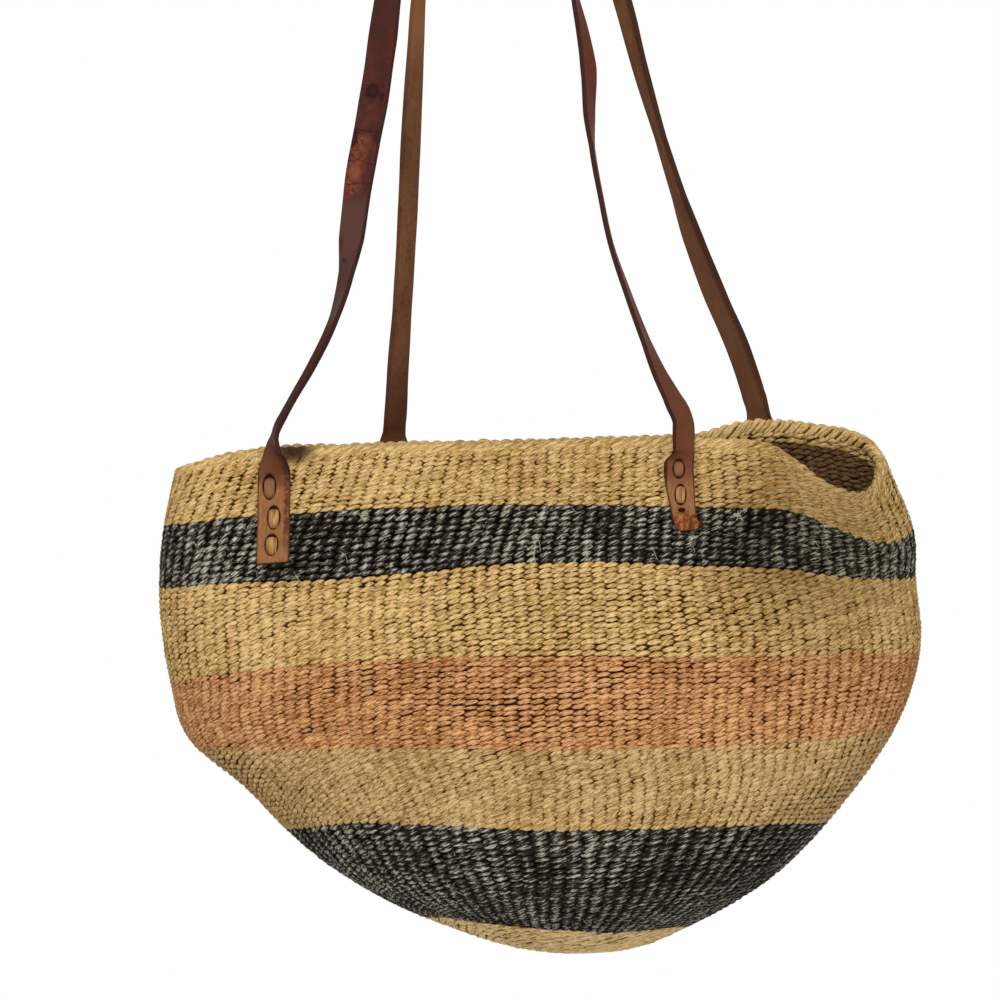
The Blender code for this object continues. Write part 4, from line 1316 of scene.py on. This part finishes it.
def scar_ring(finish, left, side, uneven):
    """A round dark scar with a paler middle."""
    up = (left - SCAR[0]) * (1 / SCAR_RADIUS)
    over = (side - SCAR[1]) * (STRAP_WIDTH / 2 / SCAR_RADIUS)
    reach = (up * up + over * over).math("SQRT") + (uneven - 0.5) * 1.3
    return (1 - finish.ramp(reach, 0.9, 1.25)) * (finish.ramp(reach, 0.1, 0.6) * 0.35 + 0.65)


def flesh_finish():
    """The suede inner side of the back strap, brown and soft, with dark edges."""
    finish = Finish("brown suede", {"Roughness": 0.85, "Specular IOR Level": 0.03})
    left, right, side = finish.read("left"), finish.read("right"), finish.read("side")
    part, pit, over = finish.read("part"), finish.read("pit"), finish.read("over")
    run = finish.node("ShaderNodeCombineXYZ", {0: left * 1.0, 1: side * 0.00875, 2: right * 0.0})
    broad = finish.noise(finish.stretch(run, (0.5, 1.0, 1.0)), scale=60.0, detail=3.0)
    nap = finish.noise(finish.stretch(run, (0.5, 1.6, 1.0)), scale=900.0, detail=3.0)
    colour = finish.mix(finish.ramp(broad, 0.3, 0.7), srgb(92, 59, 40), srgb(120, 79, 51))
    colour = finish.mix(finish.ramp(nap, 0.3, 0.75) * 0.5, colour, srgb(122, 82, 56))
    mottle = finish.noise(run, scale=260.0, detail=4.0, roughness=0.65)
    colour = finish.mix(finish.ramp(mottle, 0.50, 0.66) * 0.45, colour, srgb(74, 46, 32))
    low_right = 1 - finish.ramp(right, 0.030, 0.070)
    colour = finish.mix(low_right * 0.6, colour, srgb(98, 63, 46))
    low_left = 1 - finish.ramp(left, 0.015, 0.080)
    colour = finish.mix(low_left * 0.75, colour, srgb(74, 44, 30))
    high_left = finish.ramp(left, 0.190, 0.235) * (1 - finish.ramp(left, 0.30, 0.36))
    colour = finish.mix(high_left * 0.8, colour, srgb(152, 101, 66))
    middle_right = finish.ramp(right, 0.035, 0.060) * (1 - finish.ramp(right, 0.105, 0.135))
    colour = finish.mix(middle_right * 0.6, colour, srgb(96, 63, 46))
    edge = finish.ramp(over + (nap - 0.5) * 0.1, 0.50, 0.85) * finish.ramp(right, -0.02, 0.05) * (1 - finish.ramp(right, 0.24, 0.30))
    colour = finish.mix(edge * 0.7, colour, srgb(56, 36, 26))
    rim = finish.ramp(side.math("ABSOLUTE"), 0.84, 0.97)
    cut = finish.ramp(part, 0.2, 0.45) * (1 - finish.ramp(part, 0.55, 0.8))
    colour = finish.mix(rim * (0.85 - cut * 0.4), colour, srgb(44, 26, 20))
    grain = finish.mix(finish.ramp(broad, 0.35, 0.68), srgb(76, 43, 38), srgb(98, 54, 46))
    colour = finish.mix(finish.ramp(part, 0.6, 0.95), colour, grain)
    # Painted shade in the pits round the lace
    colour = finish.mix(finish.ramp(pit, 0.05, 0.55), colour, srgb(40, 22, 15))
    return finish.finish(colour, relief=nap * 0.6 + broad * 0.6, height=0.0004)


def lace_finish():
    """Raw sisal-coloured lacing: the first stitch of each is browned, the others are paler."""
    finish = Finish("fibrous lacing", {"Roughness": 0.75, "Specular IOR Level": 0.12})
    way, across, other, tone = (finish.read(name) for name in ("way", "across", "other", "tone"))
    section = finish.node("ShaderNodeCombineXYZ", {0: way * 130.0, 1: across * 3.2, 2: other * 3.2})
    fibres = finish.noise(section, detail=3.0, roughness=0.6)
    broad = finish.noise(section, scale=0.35, detail=1.0)
    brown = finish.mix(fibres, srgb(98, 64, 44), srgb(152, 110, 72))
    pale = finish.mix(finish.ramp(fibres, 0.35, 0.68), srgb(120, 80, 42), srgb(192, 146, 92))
    colour = finish.mix(finish.ramp(tone + (broad - 0.5) * 0.3, 0.25, 0.75), brown, pale)
    # Painted shade along the lace's sides
    colour = finish.mix(finish.ramp(across.math("ABSOLUTE"), 0.75, 1.0) * 0.55, colour, srgb(84, 52, 28))
    return finish.finish(colour, relief=fibres, height=0.0007)


# Stage


def add_light(name, place, size, power, colour=(1.0, 1.0, 1.0)):
    data = bpy.data.lights.new(name, "AREA")
    data.shape = "DISK"
    data.size = size
    data.energy = power
    data.color = colour
    light = bpy.data.objects.new(name, data)
    light.location = place
    aim = Vector(VIEW_CENTRE) - Vector(place)
    light.rotation_euler = aim.to_track_quat("-Z", "Y").to_euler()
    bpy.context.scene.collection.objects.link(light)


def seen_white(tree, surface, glow):
    """Leaves a surface as it is for light, and makes it white for the camera and in mirrors."""
    rays = tree.nodes.new("ShaderNodeLightPath")
    seen = rays.outputs["Is Camera Ray"]
    for name in ("Is Glossy Ray", "Is Transmission Ray"):
        either = tree.nodes.new("ShaderNodeMath")
        either.operation = "MAXIMUM"
        tree.links.new(seen, either.inputs[0])
        tree.links.new(rays.outputs[name], either.inputs[1])
        seen = either.outputs[0]
    mixed = tree.nodes.new("ShaderNodeMixShader")
    tree.links.new(seen, mixed.inputs[0])
    tree.links.new(surface, mixed.inputs[1])
    tree.links.new(glow, mixed.inputs[2])
    return mixed.outputs[0]


def add_world():
    world = bpy.data.worlds.new("studio")
    world.use_nodes = True
    bpy.context.scene.world = world
    tree = world.node_tree
    fill = tree.nodes["Background"]
    fill.inputs["Color"].default_value = (1, 1, 1, 1)
    fill.inputs["Strength"].default_value = WORLD_LIGHT
    white = tree.nodes.new("ShaderNodeBackground")
    white.inputs["Color"].default_value = (1, 1, 1, 1)
    white.inputs["Strength"].default_value = 1.0
    surface = seen_white(tree, fill.outputs[0], white.outputs[0])
    tree.links.new(surface, tree.nodes["World Output"].inputs["Surface"])


def add_floor():
    """A pale round floor well below the hanging basket, which takes its shadow."""
    finish = Finish("pale floor", {"Roughness": 0.9, "Base Color": (0.8, 0.8, 0.8, 1)})
    turn = np.arange(FLOOR_SIDES) / FLOOR_SIDES * math.tau
    ring = [(FLOOR_RADIUS * math.cos(t), FLOOR_RADIUS * math.sin(t), -FLOOR_DROP) for t in turn]
    floor = mesh_object("floor", ring, [tuple(range(FLOOR_SIDES))], [finish.material], smooth=False)


def add_camera():
    data = bpy.data.cameras.new("camera")
    data.sensor_width = SENSOR
    data.lens = SENSOR * VIEW_DISTANCE / (METRES_PER_PIXEL * PICTURE_PIXELS)
    data.clip_end = 100
    camera = bpy.data.objects.new("camera", data)
    back = Vector((0, -math.cos(VIEW_ELEVATION), math.sin(VIEW_ELEVATION)))
    camera.location = Vector(VIEW_CENTRE) + back * VIEW_DISTANCE
    camera.rotation_euler = (math.pi / 2 - VIEW_ELEVATION, 0, 0)
    bpy.context.scene.collection.objects.link(camera)
    bpy.context.scene.camera = camera


WORLD_LIGHT = 0.64
FLOOR_SIDES = 96
FLOOR_RADIUS = 1.1


# Each yarn: its colour in the grooves, which is painted shade, plain and in its pale fibres, where among the streaks
# these begin and are full, how patchy it is over the wall, how much paler the top of a stitch is as a painted
# highlight, and whether the darker patch beside the left front tab shows on it
NATURAL = (srgb(82, 46, 0), srgb(160, 119, 54), srgb(240, 204, 140), 0.40, 0.62, 0.15, 0.08)
# The lower natural band's yarn: the natural yarn's colours painted darker, as shade on the bowl
SHADED = (srgb(86, 50, 2), srgb(148, 110, 54), srgb(222, 188, 132), 0.40, 0.62, 0.15, 0.08)
PALE = (srgb(100, 62, 10), srgb(174, 134, 70), srgb(250, 218, 160), 0.36, 0.58, 0.15, 0.08)
YARNS = {
    "natural": (*NATURAL, True),
    "shaded natural": (*SHADED, False),
    "pale": (*PALE, False),
    "rust": (srgb(84, 32, 0), srgb(152, 94, 42), srgb(240, 184, 128), 0.40, 0.64, 0.15, 0.08, False),
    "charcoal": (srgb(4, 2, 0), srgb(34, 30, 21), srgb(202, 196, 178), 0.55, 0.79, 0.22, 0.40, False),
}


def make_finishes():
    finishes = {}
    for yarn, looks in YARNS.items():
        finishes[yarn] = yarn_finish(f"{yarn} sisal", *looks)
        finishes[yarn, "core"] = plain_finish(f"{yarn} sisal core", CORE_SHADE_COLOURS[yarn])
    finishes["hair"] = plain_finish("stray fibre", srgb(190, 184, 160), 0.6)
    # The core under the rim's wraps, painted dark as shade
    finishes["rim core"] = plain_finish("rim core", srgb(104, 72, 36))
    finishes["lace"] = lace_finish()
    finishes["front"] = strap_finish()
    finishes["back"] = flesh_finish()
    return finishes


# The weave's inside: each yarn much darker than its stitches, as painted shade in the pits
CORE_SHADE_COLOURS = {
    "natural": srgb(82, 52, 16),
    "shaded natural": srgb(82, 52, 16),
    "pale": srgb(90, 60, 22),
    "rust": srgb(80, 40, 14),
    "charcoal": srgb(14, 11, 6),
}


def main():
    bpy.context.scene.view_settings.view_transform = "Standard"
    wall = Wall()
    finishes = make_finishes()
    make_weave(wall, finishes)
    strands = strand_tree()
    make_rim(wall, strands, finishes["natural"], finishes["rim core"])
    make_hairs(wall, strands, finishes["hair"])
    for side, tabs, shares, front in (
        ("front", FRONT_TABS, FRONT_LOOP_SHARES, True),
        ("back", BACK_TABS, BACK_LOOP_SHARES, False),
    ):
        for seat in make_strap(side, tabs, shares, front, wall, finishes[side]):
            make_lace(seat, finishes["lace"])
    add_world()
    add_floor()
    add_light("key", (-0.25, -3.0, 0.9), 1.2, 65)
    add_camera()


main()
